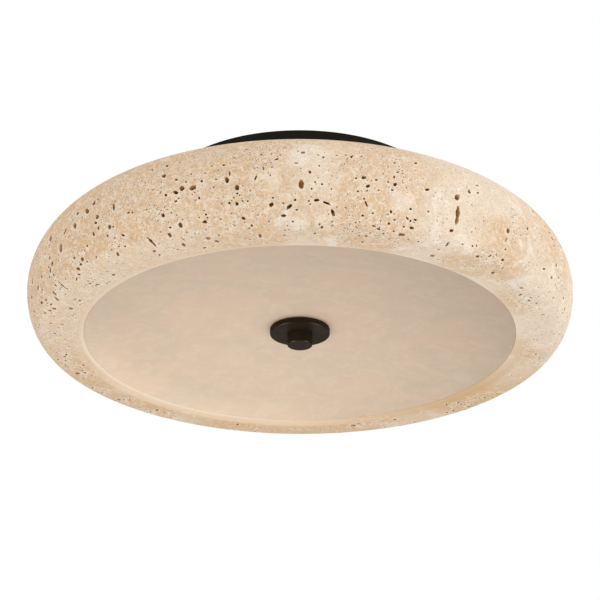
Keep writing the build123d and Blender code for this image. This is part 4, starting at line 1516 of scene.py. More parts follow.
SEEN_PITS = (
    # Left end
    Pit(x=97, y=217, wide=2.9, high=3.7, tilt=25), Pit(x=95.5, y=223, wide=2.5, high=2.2),
    Pit(x=98.5, y=228, wide=1.7, high=2.8), Pit(x=109.5, y=227, wide=2.5, high=4.2),
    Pit(x=75, y=226, wide=2.5, high=5.0), Pit(x=77.5, y=213.5, wide=1.7, high=2.9, tilt=20),
    Pit(x=87, y=211, wide=3.4, high=4.2), Pit(x=94, y=203, wide=2.2, high=4.2, tilt=30),
    Pit(x=114, y=207, wide=1.7, high=5.9), Pit(x=107.5, y=236, wide=1.8, high=2.2),
    Pit(x=60.5, y=248, wide=2.9, high=8.4), Pit(x=52, y=264, wide=1.7, high=4.2),
    Pit(x=50.5, y=270.5, wide=1.3, high=5.0), Pit(x=50.5, y=238.5, wide=2.0, high=5.4, tilt=15),
    Pit(x=65, y=232, wide=1.3, high=6.2, tilt=25), Pit(x=82.5, y=259.5, wide=2.7, high=3.5, tilt=-30),
    Pit(x=80.5, y=264.5, wide=2.2, high=2.2), Pit(x=78.5, y=269, wide=4.2, high=2.2, tilt=30),
    Pit(x=79, y=274.5, wide=2.5, high=1.7), Pit(x=76.5, y=279, wide=1.3, high=3.4, tilt=10),
    Pit(x=90, y=283.5, wide=2.5, high=1.1), Pit(x=98, y=284.5, wide=3.4, high=1.0),
    Pit(x=113.5, y=275, wide=3.4, high=1.7), Pit(x=118, y=254.5, wide=2.2, high=4.0, tilt=-35),
    Pit(x=54.5, y=293.5, wide=1.7, high=4.7, tilt=-40), Pit(x=57, y=299, wide=5.4, high=1.5, tilt=40),
    Pit(x=41.5, y=303, wide=2.2, high=2.5), Pit(x=38, y=287.5, wide=1.3, high=5.0),
    Pit(x=63, y=286, wide=11.0, high=1.0, tilt=42), Pit(x=93.5, y=234, wide=2.0, high=3.4),
    Pit(x=119, y=246.5, wide=1.7, high=1.3), Pit(x=125, y=246.5, wide=1.8, high=1.5, tilt=20),
    # Left of the middle
    Pit(x=164, y=176, wide=3.4, high=3.4), Pit(x=152, y=170, wide=2.1, high=1.3),
    Pit(x=167, y=166, wide=2.5, high=1.7), Pit(x=176, y=179.5, wide=2.5, high=1.7),
    Pit(x=182, y=188.5, wide=4.2, high=4.6), Pit(x=175.5, y=192.5, wide=4.6, high=2.8, tilt=25),
    Pit(x=193, y=187.5, wide=5.9, high=4.2, tilt=-20), Pit(x=186, y=182, wide=2.0, high=1.3),
    Pit(x=202, y=181, wide=2.5, high=2.0), Pit(x=191.5, y=174, wide=2.0, high=1.3),
    Pit(x=205, y=173, wide=1.7, high=1.2), Pit(x=212, y=166, wide=2.0, high=1.3),
    Pit(x=224, y=165, wide=2.5, high=1.7), Pit(x=227, y=180, wide=3.4, high=5.0),
    Pit(x=230, y=173.5, wide=1.7, high=4.0), Pit(x=237, y=187.5, wide=3.9, high=4.7),
    Pit(x=237, y=193.5, wide=2.2, high=1.8), Pit(x=256, y=178, wide=1.7, high=4.2, tilt=20),
    Pit(x=229, y=203, wide=2.2, high=2.2), Pit(x=237, y=204, wide=3.0, high=3.0),
    Pit(x=166, y=195, wide=2.5, high=2.2), Pit(x=163, y=215.5, wide=2.9, high=3.7, tilt=-30),
    Pit(x=180.5, y=225.5, wide=3.4, high=4.9, tilt=-30), Pit(x=170.5, y=227.5, wide=2.5, high=1.7),
    Pit(x=170, y=235.5, wide=2.9, high=4.2, tilt=-35),
    Pit(x=151.5, y=242.5, wide=12.0, high=1.9, tilt=46, bend=0.8),
    Pit(x=184, y=239.5, wide=5.9, high=1.0, tilt=42), Pit(x=184, y=245, wide=4.2, high=2.2, tilt=30),
    Pit(x=205, y=222, wide=4.2, high=2.5, tilt=10), Pit(x=206, y=214.5, wide=2.2, high=1.7),
    Pit(x=208, y=239, wide=4.2, high=2.4, tilt=12), Pit(x=217, y=241.5, wide=4.2, high=2.0, tilt=10),
    Pit(x=219, y=235.5, wide=1.8, high=1.5), Pit(x=154.5, y=251.5, wide=2.9, high=2.0),
    Pit(x=159.5, y=255, wide=1.8, high=1.7), Pit(x=252, y=225.5, wide=2.2, high=2.2),
    Pit(x=260, y=236, wide=2.5, high=3.4, tilt=-40), Pit(x=222, y=204, wide=1.1, high=3.4, tilt=25),
    # Middle
    Pit(x=303, y=152.5, wide=3.9, high=2.0), Pit(x=318, y=155, wide=2.5, high=1.0, tilt=20),
    Pit(x=323.5, y=157, wide=2.5, high=1.7), Pit(x=337, y=155.5, wide=2.0, high=1.1),
    Pit(x=345.5, y=155, wide=1.8, high=1.3), Pit(x=352, y=156.5, wide=2.9, high=1.8, tilt=-35),
    Pit(x=361, y=156.5, wide=1.8, high=1.1), Pit(x=280, y=155.3, wide=1.7, high=1.3),
    Pit(x=277, y=159, wide=3.4, high=1.7, tilt=-20), Pit(x=296, y=163, wide=3.9, high=1.2),
    Pit(x=263.5, y=168.5, wide=1.3, high=3.7), Pit(x=310, y=172, wide=2.9, high=2.5),
    Pit(x=301, y=184, wide=4.7, high=7.6, tilt=5), Pit(x=270, y=175, wide=1.3, high=1.7),
    Pit(x=322, y=184, wide=2.0, high=1.7), Pit(x=315.5, y=182, wide=1.7, high=1.7),
    Pit(x=311.5, y=189, wide=1.8, high=1.7), Pit(x=331, y=189, wide=1.7, high=1.3),
    Pit(x=295.5, y=200, wide=2.5, high=2.0), Pit(x=309.2, y=201, wide=2.0, high=1.6),
    Pit(x=316.5, y=200, wide=4.6, high=2.5), Pit(x=311.5, y=196.7, wide=3.2, high=1.0, tilt=40),
    Pit(x=289, y=207, wide=5.9, high=2.9, tilt=-35), Pit(x=326.5, y=203, wide=7.0, high=2.0, tilt=22),
    Pit(x=333, y=212.8, wide=3.0, high=6.0, tilt=-25),
    Pit(x=283.5, y=216, wide=4.6, high=2.4, tilt=-20), Pit(x=292.5, y=221.5, wide=2.0, high=1.7),
    Pit(x=322, y=227.5, wide=2.5, high=2.5), Pit(x=315, y=233.5, wide=2.5, high=1.3),
    Pit(x=273, y=198, wide=2.0, high=1.7), Pit(x=283.2, y=203.5, wide=2.9, high=1.3, tilt=40),
    Pit(x=287, y=226, wide=1.1, high=1.8), Pit(x=285, y=230.5, wide=1.8, high=1.1),
    Pit(x=284, y=235.5, wide=1.7, high=1.3), Pit(x=364, y=177.5, wide=4.2, high=2.9),
    Pit(x=376, y=180, wide=2.5, high=1.7), Pit(x=368, y=186, wide=3.4, high=2.9),
    Pit(x=367.3, y=190.8, wide=1.7, high=1.5), Pit(x=378.5, y=190, wide=2.2, high=1.3),
    Pit(x=357.5, y=191.5, wide=2.0, high=1.7), Pit(x=366, y=204, wide=1.8, high=5.0, tilt=-25),
    Pit(x=372.5, y=213, wide=2.0, high=1.7), Pit(x=362.5, y=216, wide=2.2, high=2.2),
    Pit(x=374, y=226, wide=3.4, high=1.7, tilt=12), Pit(x=389, y=224, wide=2.5, high=2.2),
    Pit(x=366, y=236, wide=2.2, high=1.7), Pit(x=362.5, y=242, wide=2.5, high=1.3),
    # Right
    Pit(x=395, y=163, wide=1.8, high=1.5), Pit(x=416, y=163, wide=2.5, high=1.7),
    Pit(x=397.5, y=172, wide=2.5, high=1.3), Pit(x=394, y=177, wide=1.7, high=2.5),
    Pit(x=395.5, y=184.5, wide=3.4, high=2.9), Pit(x=406.5, y=187.5, wide=1.7, high=1.3),
    Pit(x=427, y=189.5, wide=3.9, high=2.2), Pit(x=410.5, y=209, wide=2.2, high=2.2),
    Pit(x=428, y=211.5, wide=1.8, high=1.7), Pit(x=415.5, y=220, wide=2.5, high=2.2),
    Pit(x=412, y=228, wide=4.2, high=2.2, tilt=8), Pit(x=401.5, y=235, wide=5.0, high=2.9),
    Pit(x=408.5, y=240, wide=1.7, high=1.3), Pit(x=418.5, y=241.5, wide=1.8, high=1.2),
    Pit(x=394.5, y=220, wide=2.2, high=1.5), Pit(x=451.5, y=231, wide=3.4, high=2.9),
    Pit(x=457.5, y=197.5, wide=4.2, high=5.2), Pit(x=458, y=215.3, wide=3.6, high=17.0, tilt=5),
    Pit(x=469.5, y=191.5, wide=2.0, high=3.9, tilt=-15), Pit(x=477, y=185.5, wide=2.9, high=1.0, tilt=20),
    Pit(x=432, y=256, wide=4.2, high=2.2, tilt=-8), Pit(x=447.5, y=244.5, wide=5.0, high=1.7, tilt=-50),
    Pit(x=438.5, y=249.5, wide=2.5, high=1.1), Pit(x=472.5, y=246, wide=1.8, high=1.7),
    Pit(x=462.5, y=244, wide=2.2, high=1.3), Pit(x=508.5, y=231, wide=2.9, high=4.4),
    Pit(x=506, y=240, wide=1.1, high=4.6, tilt=25), Pit(x=505.5, y=249.5, wide=1.7, high=1.7),
    Pit(x=503, y=260, wide=2.5, high=2.5), Pit(x=493, y=273, wide=3.4, high=2.0, tilt=-20),
    Pit(x=521, y=288, wide=3.4, high=1.2), Pit(x=544, y=269, wide=2.2, high=1.7),
)


@dataclass
class CanopyMount:
    """The black pan at the ceiling, its strap, studs and clamp bolts, and the terminal block inside."""

    pan_radius: float = 117.5
    pan_height: float = 44.0
    pan_wall: float = 1.2
    pan_corner: float = 4.0
    sheet_edge: float = 0.35
    gasket: Pair = (101.0, 113.0)
    stone_top: float = -45.0
    crossbar_bottom: float = -2.5
    stud_x: float = 62.0
    bolt_radius: float = 2.5
    bolt_pitch: float = 0.8
    bolt_flats: float = 8.0
    bolt_head: float = 3.5
    bolt_nut: float = 4.0
    bolt_end: float = 1.6
    chamfer: float = 0.5
    thread_depth: float = 0.4
    crown_top: float = -58.0
    crown_bottom: float = -59.5
    clamp_radius: float = 80.0
    clamp_angles: tuple[float, ...] = (30.0, 150.0, 270.0)
    spacer_radius: float = 5.0
    hole_radius: float = 2.7
    washer: Pair = (5.5, 1.0)
    ground_y: float = 5.0
    terminal_y: float = 52.0
    terminal_top: float = -27.8
    terminal_sink: float = 1.9
    terminal_pitch: Pair = (15.588, 10.0)
    ear_x: float = 27.883
    ear_top: float = -38.8

    def spots(self) -> Array:
        """Places of the three clamp bolts."""
        angle = np.radians(self.clamp_angles)
        level = np.zeros(len(angle))
        return np.stack([self.clamp_radius * np.cos(angle), self.clamp_radius * np.sin(angle), level], axis=1)

    def pan(self) -> Surface:
        """The drawn pan: its section with rounded corners, carried round the axis."""
        floor = -self.pan_height
        inner = self.pan_radius - self.pan_wall
        corners = [
            (0.0, floor), (self.pan_radius, floor), (self.pan_radius, 0.0), (inner, 0.0),
            (inner, floor + self.pan_wall), (0.0, floor + self.pan_wall),
        ]
        edge = self.sheet_edge
        radii = [0.0, self.pan_corner, edge, edge, self.pan_corner - self.pan_wall, 0.0]
        return turned(rounded(corners, radii, steps=9), segments=224)

    def stud(self, low: float, high: float) -> Surface:
        """A threaded stud between two heights, with chamfered ends."""
        edge = self.bolt_radius - self.chamfer
        shaft = threaded_rows(self.bolt_radius, low + self.chamfer, high - self.chamfer, self.bolt_pitch)
        profile = np.concatenate([[(0.0, low), (edge, low)], shaft, [(edge, high), (0.0, high)]])
        return turned(profile, segments=36, thread=Thread(self.bolt_pitch, self.thread_depth, low, high))

    def bolt(self) -> Surface:
        """A hexagon bolt from the underside of the crown to past the pan floor, with its head below."""
        seat, end = self.crown_bottom, -self.pan_height + self.pan_wall + self.bolt_nut + self.bolt_end
        bottom = seat - self.bolt_head
        corner = self.bolt_flats / np.sqrt(3.0)
        cone = np.linspace(NUT_FACE * self.bolt_flats, corner, 5)
        rise = bottom + (cone - cone[0]) * np.tan(NUT_CONE)
        shaft = threaded_rows(self.bolt_radius, seat + 0.2, end - self.chamfer, self.bolt_pitch)
        head = np.concatenate([[(0.0, bottom)], np.stack([cone, rise], axis=1), [(corner, seat)]])
        tip = [(self.bolt_radius - self.chamfer, end), (0.0, end)]
        profile = np.concatenate([head, [(self.bolt_radius, seat)], shaft, tip])
        flats = np.where(np.arange(len(profile)) < len(head), self.bolt_flats, ROUND)
        thread = Thread(self.bolt_pitch, self.thread_depth, seat, end)
        return turned(profile, segments=48, flats=flats, thread=thread)

    def show(self, palette: Palette) -> None:
        """Builds and dresses the pan and what is in it."""
        pan_floor = -self.pan_height + self.pan_wall
        studs = np.array([(-self.stud_x, 0.0, 0.0), (self.stud_x, 0.0, 0.0)])
        lift = np.array([0.0, 0.0, 1.0])
        nut = hex_nut(self.bolt_flats, self.bolt_radius, self.bolt_nut)
        washer_radius, washer_height = self.washer
        hanger_top = self.crown_bottom - washer_height
        spacer = ring(self.hole_radius, self.spacer_radius, self.crown_top, -self.pan_height, 0.3, 48)
        pitch_x, pitch_y = self.terminal_pitch
        grid_x, grid_y = np.meshgrid([-pitch_x, 0.0, pitch_x], [-0.5 * pitch_y, 0.5 * pitch_y])
        places = np.stack([grid_x, self.terminal_y + grid_y, np.zeros((2, 3))], axis=-1).reshape(-1, 3)
        clamp_seat = TurningAxis((0.0, 0.0, self.terminal_top - self.terminal_sink), DOWN)
        clamp = small_screw(head=2.0, rise=1.4, shank=1.2, length=0.1, axis=clamp_seat)
        ear_seat = TurningAxis((0.0, self.terminal_y, self.ear_top), DOWN)
        ear = small_screw(*PAN_HEAD, length=5.0, axis=ear_seat)
        ground_seat = TurningAxis((0.0, self.ground_y, self.crossbar_bottom))
        ground = small_screw(*PAN_HEAD, length=2.4, axis=ground_seat)
        washer = ring(self.hole_radius, washer_radius, hanger_top, self.crown_bottom, 0.2, 48)
        sides = np.array([(-self.ear_x, 0.0, 0.0), (self.ear_x, 0.0, 0.0)])
        made = {
            "canopy_pan": self.pan(),
            "canopy_gasket": ring(*self.gasket, self.stone_top, -self.pan_height, 0.25, 192),
            "hanger_studs": self.stud(hanger_top - self.bolt_nut - self.bolt_end, 0.0).copies(studs),
            "stud_lock_nuts": nut.copies(studs + (self.crossbar_bottom - self.bolt_nut) * lift),
            "hanger_washers": washer.copies(studs),
            "hanger_nuts": nut.copies(studs + (hanger_top - self.bolt_nut) * lift),
            "clamp_bolts": self.bolt().copies(self.spots()),
            "clamp_spacers": spacer.copies(self.spots()),
            "clamp_nuts": nut.copies(self.spots() + pan_floor * lift),
            "ground_screw": ground,
            "terminal_screws": clamp.copies(places),
            "ear_screws": ear.copies(sides),
        }
        palette.show_fixed(made)
        palette.dress("ceiling_crossbar", "terminal_block")


def small_screw(head: float, rise: float, shank: float, length: float, axis: TurningAxis) -> Surface:
    """A domed screw with a hexagon socket: rows from the socket's floor over the dome and down the shank.

    Args:
        head: radius of the head.
        rise: height of the head.
        shank: radius of the shank.
        length: length of the shank.
        axis: seat of the head, pointing along the shank.

    Returns:
        The closed screw.
    """
    socket = 0.9 * head
    dome = np.linspace(0.0, 0.5 * np.pi, 7)
    edge = 0.34 * head
    over = np.stack([head - edge + edge * np.sin(dome), -rise + 0.7 * rise * (1.0 - np.cos(dome))], axis=1)
    shaft = threaded_rows(shank, 0.02, length - 0.3, 0.6) if length > 1.0 else np.array([(shank, 0.02)])
    profile = np.concatenate([
        [(0.0, -0.4 * rise), (socket, -0.4 * rise), (socket, -rise)],
        over,
        [(head, -0.02), (shank, 0.0)],
        shaft,
        [(0.7 * shank, length), (0.0, length)],
    ])
    flats = np.where(np.arange(len(profile)) < 3, socket, ROUND)
    thread = Thread(0.6, 0.22, 0.0, length) if length > 1.0 else None
    return turned(profile, axis, segments=36, flats=flats, thread=thread)


@dataclass
class LampTray:
    """The white pressed tray under the stone's web, and the threaded centre rod that hangs from it."""

    radius: float = 130.0
    crown_radius: float = 93.0
    top: float = -64.0
    thickness: float = 1.5
    outer_bend: float = 3.4
    inner_bend: float = 2.3
    sheet_edge: float = 0.35
    crown_top: float = -58.0
    gasket: Pair = (101.0, 128.0)
    rod_radius: float = 5.0
    rod_bore: float = 3.0
    rod_ends: Pair = (-137.6, -53.0)
    rod_pitch: float = 1.0
    rod_thread: float = 0.5
    chamfer: float = 0.6
    nut_flats: float = 14.0
    nut_height: float = 4.0
    washer_radius: float = 9.5
    sheet_height: float = 1.0
    stop_bottom: float = -121.2
    stop_radius: float = 15.0
    stop_thickness: float = 1.5

    def tray(self) -> Surface:
        """The tray's pressed section, carried round the axis."""
        low, crown_low = self.top - self.thickness, self.crown_top - self.thickness
        inner = self.crown_radius - self.thickness
        corners = [
            (0.0, self.crown_top), (self.crown_radius, self.crown_top), (self.crown_radius, self.top),
            (self.radius, self.top), (self.radius, low), (inner, low), (inner, crown_low), (0.0, crown_low),
        ]
        edges, bends = [self.sheet_edge] * 2, [self.outer_bend, self.inner_bend]
        return turned(rounded(corners, [0.0, *bends, *edges, *bends, 0.0], steps=7), segments=192)

    def rod(self) -> Surface:
        """The threaded tube: crest rows outside, two rows in the bore."""
        low, high = self.rod_ends
        shaft = threaded_rows(self.rod_radius, low + self.chamfer, high - self.chamfer, self.rod_pitch)
        edge = self.rod_radius - self.chamfer
        ends = [[(self.rod_bore, low), (edge, low)], [(edge, high), (self.rod_bore, high)]]
        profile = np.concatenate([ends[0], shaft, ends[1]])
        run_out = 0.5 * self.chamfer
        thread = Thread(self.rod_pitch, self.rod_thread, low + run_out, high - run_out)
        return turned(profile, segments=48, thread=thread)

    def show(self, palette: Palette) -> None:
        """Builds and dresses the tray, the rod and their fasteners."""
        sheet = self.sheet_height
        low_washer = self.crown_top - self.thickness - sheet
        hole = self.rod_radius + 0.2
        washer = ring(hole, self.washer_radius, 0.0, sheet, 0.2, 64)
        nut = hex_nut(self.nut_flats, self.rod_radius, self.nut_height)
        low_nut = low_washer - self.nut_height
        stop_top = self.stop_bottom + self.stop_thickness
        made = {
            "lamp_tray": self.tray(),
            "tray_gasket": ring(*self.gasket, self.top, self.top + sheet, 0.3, 160),
            "centre_rod": self.rod(),
            "rod_washers": washer.copies([(0.0, 0.0, self.crown_top), (0.0, 0.0, low_washer)]),
            "rod_nuts": nut.copies([(0.0, 0.0, self.crown_top + sheet), (0.0, 0.0, low_nut)]),
            "stop_washer": ring(hole, self.stop_radius, self.stop_bottom, stop_top, 0.4, 96),
            "stop_nut": nut.copies([(0.0, 0.0, stop_top)]),
        }
        palette.show_fixed(made)


@dataclass
class LampSet:
    """Three lampholders on brackets, their bulbs, leads and grommets."""

    angles: tuple[float, ...] = (90.0, 210.0, 330.0)
    height: float = -92.0
    mouth: float = 74.0
    rear: float = 34.0
    body_radius: float = 11.0
    body_length: float = 14.0
    skirt_radius: float = 13.0
    bore: Pair = (7.5, 25.0)
    spigot: Pair = (4.8, 9.0)
    lead_hole: float = 2.2
    ribs: tuple[float, ...] = (53.0, 58.0, 63.0, 68.0)
    rib_depth: float = 0.7
    nut_flats: float = 15.0
    nut_height: float = 4.0
    bracket: float = 1.5
    cap_radius: float = 7.0
    cap_ends: Pair = (51.0, 77.0)
    cap_pitch: float = 2.8
    cap_thread: float = 0.75
    globe_radius: float = 22.5
    globe_centre: float = 107.0
    shoulder_angle: float = 50.0
    neck_radius: float = 9.0
    lead_offset: float = 18.0
    screw_radius: float = 44.0
    screw_half_pitch: float = 6.0
    foot_bottom: float = -61.0
    grommet_radius: float = 5.0
    grommet_neck: float = 3.6
    flange: float = 1.2
    pan_sheet: Pair = (-44.0, -42.8)
    tray_sheet: Pair = (-59.5, -58.0)

    def axis(self, angle: float) -> TurningAxis:
        """Axis of one lamp, pointing away from the rod."""
        turn = np.radians(angle)
        outward = (float(np.cos(turn)), float(np.sin(turn)), 0.0)
        return TurningAxis((0.0, 0.0, self.height), outward, UPRIGHT.along)

    def holder(self, angle: float) -> Surface:
        """A lampholder: spigot, body and ribbed skirt outside, lamp bore and lead bore inside."""
        bore, deep = self.bore
        spigot, reach = self.spigot
        rear, mouth, lead = self.rear, self.mouth, self.lead_hole
        skirt, tail = rear + self.body_length, rear - reach
        grooves = [
            (radius, start + step)
            for start in self.ribs
            for radius, step in (
                (self.skirt_radius, 0.0), (self.skirt_radius - self.rib_depth, self.rib_depth),
                (self.skirt_radius - self.rib_depth, 1.5), (self.skirt_radius, 2.2),
            )
        ]
        corners = [
            (0.0, rear), (lead, rear), (lead, tail), (spigot, tail), (spigot, rear),
            (self.body_radius, rear), (self.body_radius, skirt), (self.skirt_radius, skirt), *grooves,
            (self.skirt_radius, mouth), (bore, mouth), (bore, mouth - deep), (0.0, mouth - deep),
        ]
        radii = [0.0, 0.1, 0.3, 0.5, 0.2, 0.8, 0.5, 0.6, *[0.25] * len(grooves), 0.8, 0.6, 0.4, 0.0]
        return turned(rounded(corners, radii, steps=5), self.axis(angle), segments=72)

    def cap(self, angle: float) -> Surface:
        """A bulb's screw cap: contact button, insulator cone and rolled thread."""
        low, high = self.cap_ends
        lower = [
            (0.0, low), (2.6, low), (3.2, low + 0.5), (3.4, low + 1.1), (6.0, low + 2.6),
            (self.cap_radius, low + 3.4),
        ]
        shaft = threaded_rows(self.cap_radius, low + 3.6, high - 0.4, self.cap_pitch, per_turn=14)
        profile = np.concatenate([lower, shaft, [(self.cap_radius, high), (0.0, high)]])
        thread = Thread(self.cap_pitch, self.cap_thread, low + 4.0, high - 5.0)
        return turned(profile, self.axis(angle), segments=60, thread=thread)

    def globe(self, angle: float) -> Surface:
        """A bulb's globe: a flared neck that meets a sphere at the shoulder angle, closed on the axis."""
        turn = np.radians(self.shoulder_angle)
        radius, centre, neck_radius = self.globe_radius, self.globe_centre, self.neck_radius
        join, join_radius = centre - radius * np.cos(turn), radius * np.sin(turn)
        start = self.cap_ends[1]
        share = np.linspace(0.0, 1.0, 16)[1:]
        flare = neck_radius + (join_radius - neck_radius) * share
        neck = np.stack([flare, start + (join - start) * share], axis=1)
        arc = np.pi - np.linspace(turn, np.pi, 48)
        ball = np.stack([radius * np.sin(arc), centre - radius * np.cos(np.pi - arc)], axis=1)
        profile = np.concatenate([
            [(0.0, start), (neck_radius - 0.6, start), (neck_radius, start + 0.6)],
            neck[:-1],
            ball[:-1],
            [(0.0, centre + radius)],
        ])
        return turned(profile, self.axis(angle), segments=96)

    def grommet(self, low: float, high: float) -> Surface:
        """A rubber grommet: two rounded flanges and the neck between them, carried round its own axis."""
        bore, radius, neck = self.lead_hole, self.grommet_radius, self.grommet_neck
        bottom, top = low - self.flange, high + self.flange
        corners = [
            (bore, bottom), (radius, bottom), (radius, low), (neck, low),
            (neck, high), (radius, high), (radius, top), (bore, top),
        ]
        return turned(rounded(corners, [0.3, 0.5, 0.2, 0.1, 0.1, 0.2, 0.5, 0.3], steps=5), segments=48)

    def show(self, palette: Palette) -> None:
        """Builds and dresses the lamps."""
        turn = np.radians(self.angles)
        along = np.stack([np.cos(turn), np.sin(turn), np.zeros(len(turn))], axis=1)
        beside = np.stack([-np.sin(turn), np.cos(turn), np.zeros(len(turn))], axis=1)
        for number, (angle, body) in enumerate(zip(self.angles, (Body.BULB_1, Body.BULB_2, Body.BULB_3)), 1):
            palette.show(self.holder(angle), f"lampholder_{number}", Body.FIXTURE)
            palette.show(self.cap(angle), f"bulb_{number}_cap", body)
            palette.show(self.globe(angle), f"bulb_{number}_globe", body, sharp=60.0)
            palette.dress(f"lampholder_bracket_{number}", f"lamp_lead_{number}")
        seat = self.rear - self.bracket - self.nut_height
        nuts = []
        for angle in self.angles:
            axis = self.axis(angle)
            origin = tuple(np.array(axis.origin) + seat * np.array(axis.along))
            place = replace(axis, origin=origin)
            nuts.append(hex_nut(self.nut_flats, self.spigot[0], self.nut_height, place))
        screw = small_screw(*PAN_HEAD, length=5.0, axis=TurningAxis((0.0, 0.0, self.foot_bottom)))
        feet = np.concatenate([
            self.screw_radius * along - self.screw_half_pitch * beside,
            self.screw_radius * along + self.screw_half_pitch * beside,
        ])
        leads = self.lead_offset * along
        palette.show_fixed({
            "spigot_nuts": Surface.joined(nuts),
            "bracket_screws": screw.copies(feet),
            "pan_grommets": self.grommet(*self.pan_sheet).copies(leads),
            "tray_grommets": self.grommet(*self.tray_sheet).copies(leads),
        })


@dataclass
class DiffuserDish:
    """The shallow opal dish in the stone's opening, and the felt that it is drawn up against."""

    radius: float = 179.9
    hole: float = 5.5
    flat_radius: float = 95.0
    centre: float = -125.2
    rise: float = 9.3
    thickness: float = 4.0
    seat_radius: float = 172.0
    seat: float = -128.79
    edge_round: float = 0.15
    hole_round: float = 0.3
    felt: Pair = (172.5, 179.2)
    felt_height: float = 1.0

    def dish(self) -> Surface:
        """The dish: flat inside, then z = c + sqrt(R^2 - (r - flat)^2) below and with R + wall above."""
        flat = self.flat_radius
        bend = ((self.radius - flat) ** 2 + self.rise**2) / (2.0 * self.rise)
        middle, wall = self.centre - bend, bend + self.thickness
        lower = np.linspace(flat, self.radius, 60)
        upper = np.linspace(self.seat_radius, flat, 60)
        below = np.stack([lower, middle + np.sqrt(bend**2 - (lower - flat) ** 2)], axis=1)
        above = np.stack([upper, middle + np.sqrt(wall**2 - (upper - flat) ** 2)], axis=1)
        top = self.centre + self.thickness
        corners = np.concatenate([
            [(self.hole, self.centre)], below, [(self.radius, self.seat)], above, [(self.hole, top)]
        ])
        radii = np.zeros(len(corners))
        radii[[0, -1]] = self.hole_round
        radii[[len(below), len(below) + 1]] = self.edge_round
        return turned(rounded(corners, radii, steps=7), segments=224)

    def show(self, palette: Palette) -> None:
        """Builds and dresses the dish and its felt."""
        palette.show(self.dish(), "diffuser", Body.DIFFUSER)
        felt = ring(*self.felt, self.seat, self.seat + self.felt_height, 0.3, 224)
        palette.show(felt, "diffuser_gasket", Body.FIXTURE)


@dataclass
class Finial:
    """The dark disc and knob that hold the dish up, with the soft washer behind them."""

    disc_radius: float = 25.0
    disc_top: float = -126.0
    disc_bottom: float = -130.6
    disc_edge: float = 0.4
    knob_radius: float = 10.4
    knob_bottom: float = -140.9
    knob_edge: float = 0.5
    bore: float = 5.3
    bore_depth: float = 8.0
    washer_radius: float = 22.0
    washer_thickness: float = 0.8
    # Painted glints on the lower edges: strength, the bearing they sit at on each side, and spread
    worn_share: float = 0.5
    worn_bearing: float = 33.0
    worn_spread: float = 11.0

    def disc(self) -> Surface:
        """The disc's section with eased edges, carried round the axis."""
        corners = [
            (self.bore, self.disc_bottom), (self.disc_radius, self.disc_bottom),
            (self.disc_radius, self.disc_top), (self.bore, self.disc_top),
        ]
        shape = turned(rounded(corners, [0.2, self.disc_edge, self.disc_edge, 0.2]), segments=160)
        return self.paint_glints(shape, self.disc_radius, self.disc_bottom, self.disc_edge)

    def paint_glints(self, shape: Surface, radius: float, height: float, edge: float) -> Surface:
        """Paints glints on one lower edge: share * exp(-((|bearing| - middle) / spread)^2) on its round only.

        Args:
            shape: the turned piece.
            radius, height: where the edge's two faces would meet.
            edge: radius of its round.

        Returns:
            The same piece with the point value worn.
        """
        x, y, z = shape.points.T
        away = np.hypot(np.hypot(x, y) - radius, z - height)
        bearing = np.degrees(np.abs(np.arctan2(x, -y)))
        # Painted glints, centred at a bearing on each side of the near edge
        worn = self.worn_share * np.exp(-(((bearing - self.worn_bearing) / self.worn_spread) ** 2))
        shape.values["worn"] = np.where(away < 0.8 * edge, worn, 0.0)
        return shape

    def knob(self) -> Surface:
        """The knob's section with its blind bore, carried round the axis."""
        deep = self.disc_bottom - self.bore_depth
        radius, low, high = self.knob_radius, self.knob_bottom, self.disc_bottom
        corners = [
            (0.0, low), (radius, low), (radius, high), (self.bore, high), (self.bore, deep), (0.0, deep)
        ]
        shape = turned(rounded(corners, [0.0, self.knob_edge, 0.25, 0.2, 0.2, 0.0]), segments=128)
        return self.paint_glints(shape, radius, low, self.knob_edge)

    def show(self, palette: Palette) -> None:
        """Builds and dresses the finial."""
        washer_top = self.disc_top + self.washer_thickness
        washer = ring(self.bore, self.washer_radius, self.disc_top, washer_top, 0.2, 128)
        palette.show(washer, "finial_washer", Body.FINIAL_DISC)
        palette.show(self.disc(), "finial_disc", Body.FINIAL_DISC)
        palette.show(self.knob(), "finial_knob", Body.FINIAL_KNOB)


@dataclass(frozen=True)
class Lamp:
    """A round soft lamp: where it stands, its width and distance in metres, and its power in watts."""

    name: str
    heading: Point
    size: float
    power: float
    distance: float = 3.0
    colour: Point = (1.0, 0.985, 0.965)


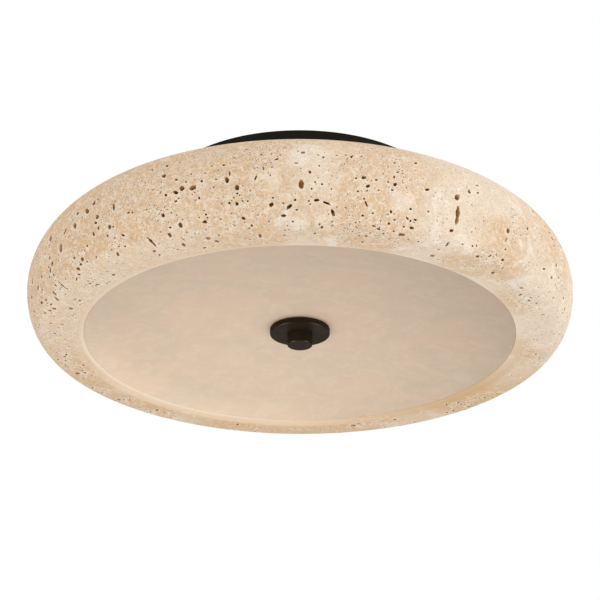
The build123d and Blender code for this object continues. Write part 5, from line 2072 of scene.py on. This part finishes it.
@dataclass
class Studio:
    """Camera, soft light, and a pale floor far below; lengths here are in metres."""

    floor_level: float = -3.6
    floor_half: float = 60.0
    floor_tone: Colour = (0.9, 0.9, 0.9, 1.0)
    floor_roughness: float = 0.9
    floor_lift: float = 0.5
    ambient: float = 0.87
    lamps: tuple[Lamp, ...] = (
        Lamp("soft_key", (1.0, -0.3, 0.2), 1.0, 18.0),
        Lamp("low_fill", (-0.1, -0.75, -0.65), 2.4, 14.0),
    )

    def camera(self) -> None:
        """Stands where the photo was taken from."""
        right, up, forward = (Vector(axis) for axis in PHOTO.axes())
        eye = bpy.data.objects.new("camera", bpy.data.cameras.new("camera"))
        eye.data.lens = PHOTO.lens
        eye.data.sensor_width = PHOTO.sensor
        eye.data.clip_end = 500.0
        facing = Matrix((right, up, -forward)).transposed().to_4x4()
        eye.matrix_world = Matrix.Translation(PHOTO.eye()) @ facing
        bpy.context.scene.collection.objects.link(eye)
        bpy.context.scene.camera = eye

    def world(self) -> None:
        """Even light for the object, and plain white where the background is seen or mirrored."""
        world = bpy.data.worlds.new("studio")
        bpy.context.scene.world = world
        world.use_nodes = True
        sheet = NodeSheet(world.node_tree)
        strength = sheet.step(sheet.seen(), 0.0, 1.0, self.ambient, 1.0)
        values = {"Color": (1.0, 1.0, 1.0, 1.0), "Strength": strength}
        sheet.feed(world.node_tree.nodes["Background"], values)

    def light(self, lamp: Lamp) -> None:
        """Hangs one soft lamp that looks at the aim."""
        heading = Vector(lamp.heading).normalized()
        data = bpy.data.lights.new(lamp.name, "AREA")
        data.shape = "DISK"
        data.size = lamp.size
        data.energy = lamp.power
        data.color = lamp.colour
        item = bpy.data.objects.new(lamp.name, data)
        item.location = Vector(PHOTO.aim) + lamp.distance * heading
        item.rotation_euler = heading.to_track_quat("Z", "Y").to_euler()
        bpy.context.scene.collection.objects.link(item)

    def floor(self) -> None:
        """A pale plain floor that takes shadow and looks white to the camera."""
        half, level = self.floor_half, self.floor_level
        corners = [(-half, -half, level), (half, -half, level), (half, half, level), (-half, half, level)]
        mesh = bpy.data.meshes.new("studio_floor")
        mesh.from_pydata(corners, [], [(0, 1, 2, 3)])
        coat = Coat("studio floor")
        coat.done({"Base Color": self.floor_tone, "Roughness": self.floor_roughness})
        lift = coat.add("ShaderNodeEmission", {"Strength": coat.times(coat.seen(), self.floor_lift)})
        total = coat.add("ShaderNodeAddShader", {0: coat.shader.outputs[0], 1: lift.outputs[0]})
        coat.feed(coat.tree.nodes["Material Output"], {"Surface": total.outputs[0]})
        mesh.materials.append(coat.material)
        item = bpy.data.objects.new("studio_floor", mesh)
        bpy.context.scene.collection.objects.link(item)

    def build(self) -> None:
        """Sets up the whole studio."""
        bpy.context.scene.view_settings.view_transform = "Standard"
        self.camera()
        self.world()
        for lamp in self.lamps:
            self.light(lamp)
        self.floor()


def main() -> None:
    """Builds the studio and every sub-assembly in order."""
    logging.basicConfig(level=logging.INFO, format="%(name)s: %(message)s")
    Studio().build()
    palette = Palette()
    for assembly in (StoneShade(), CanopyMount(), LampTray(), LampSet(), DiffuserDish(), Finial()):
        assembly.show(palette)
        LOG.info("%s is dressed", type(assembly).__name__)


if __name__ == "__main__":
    main()
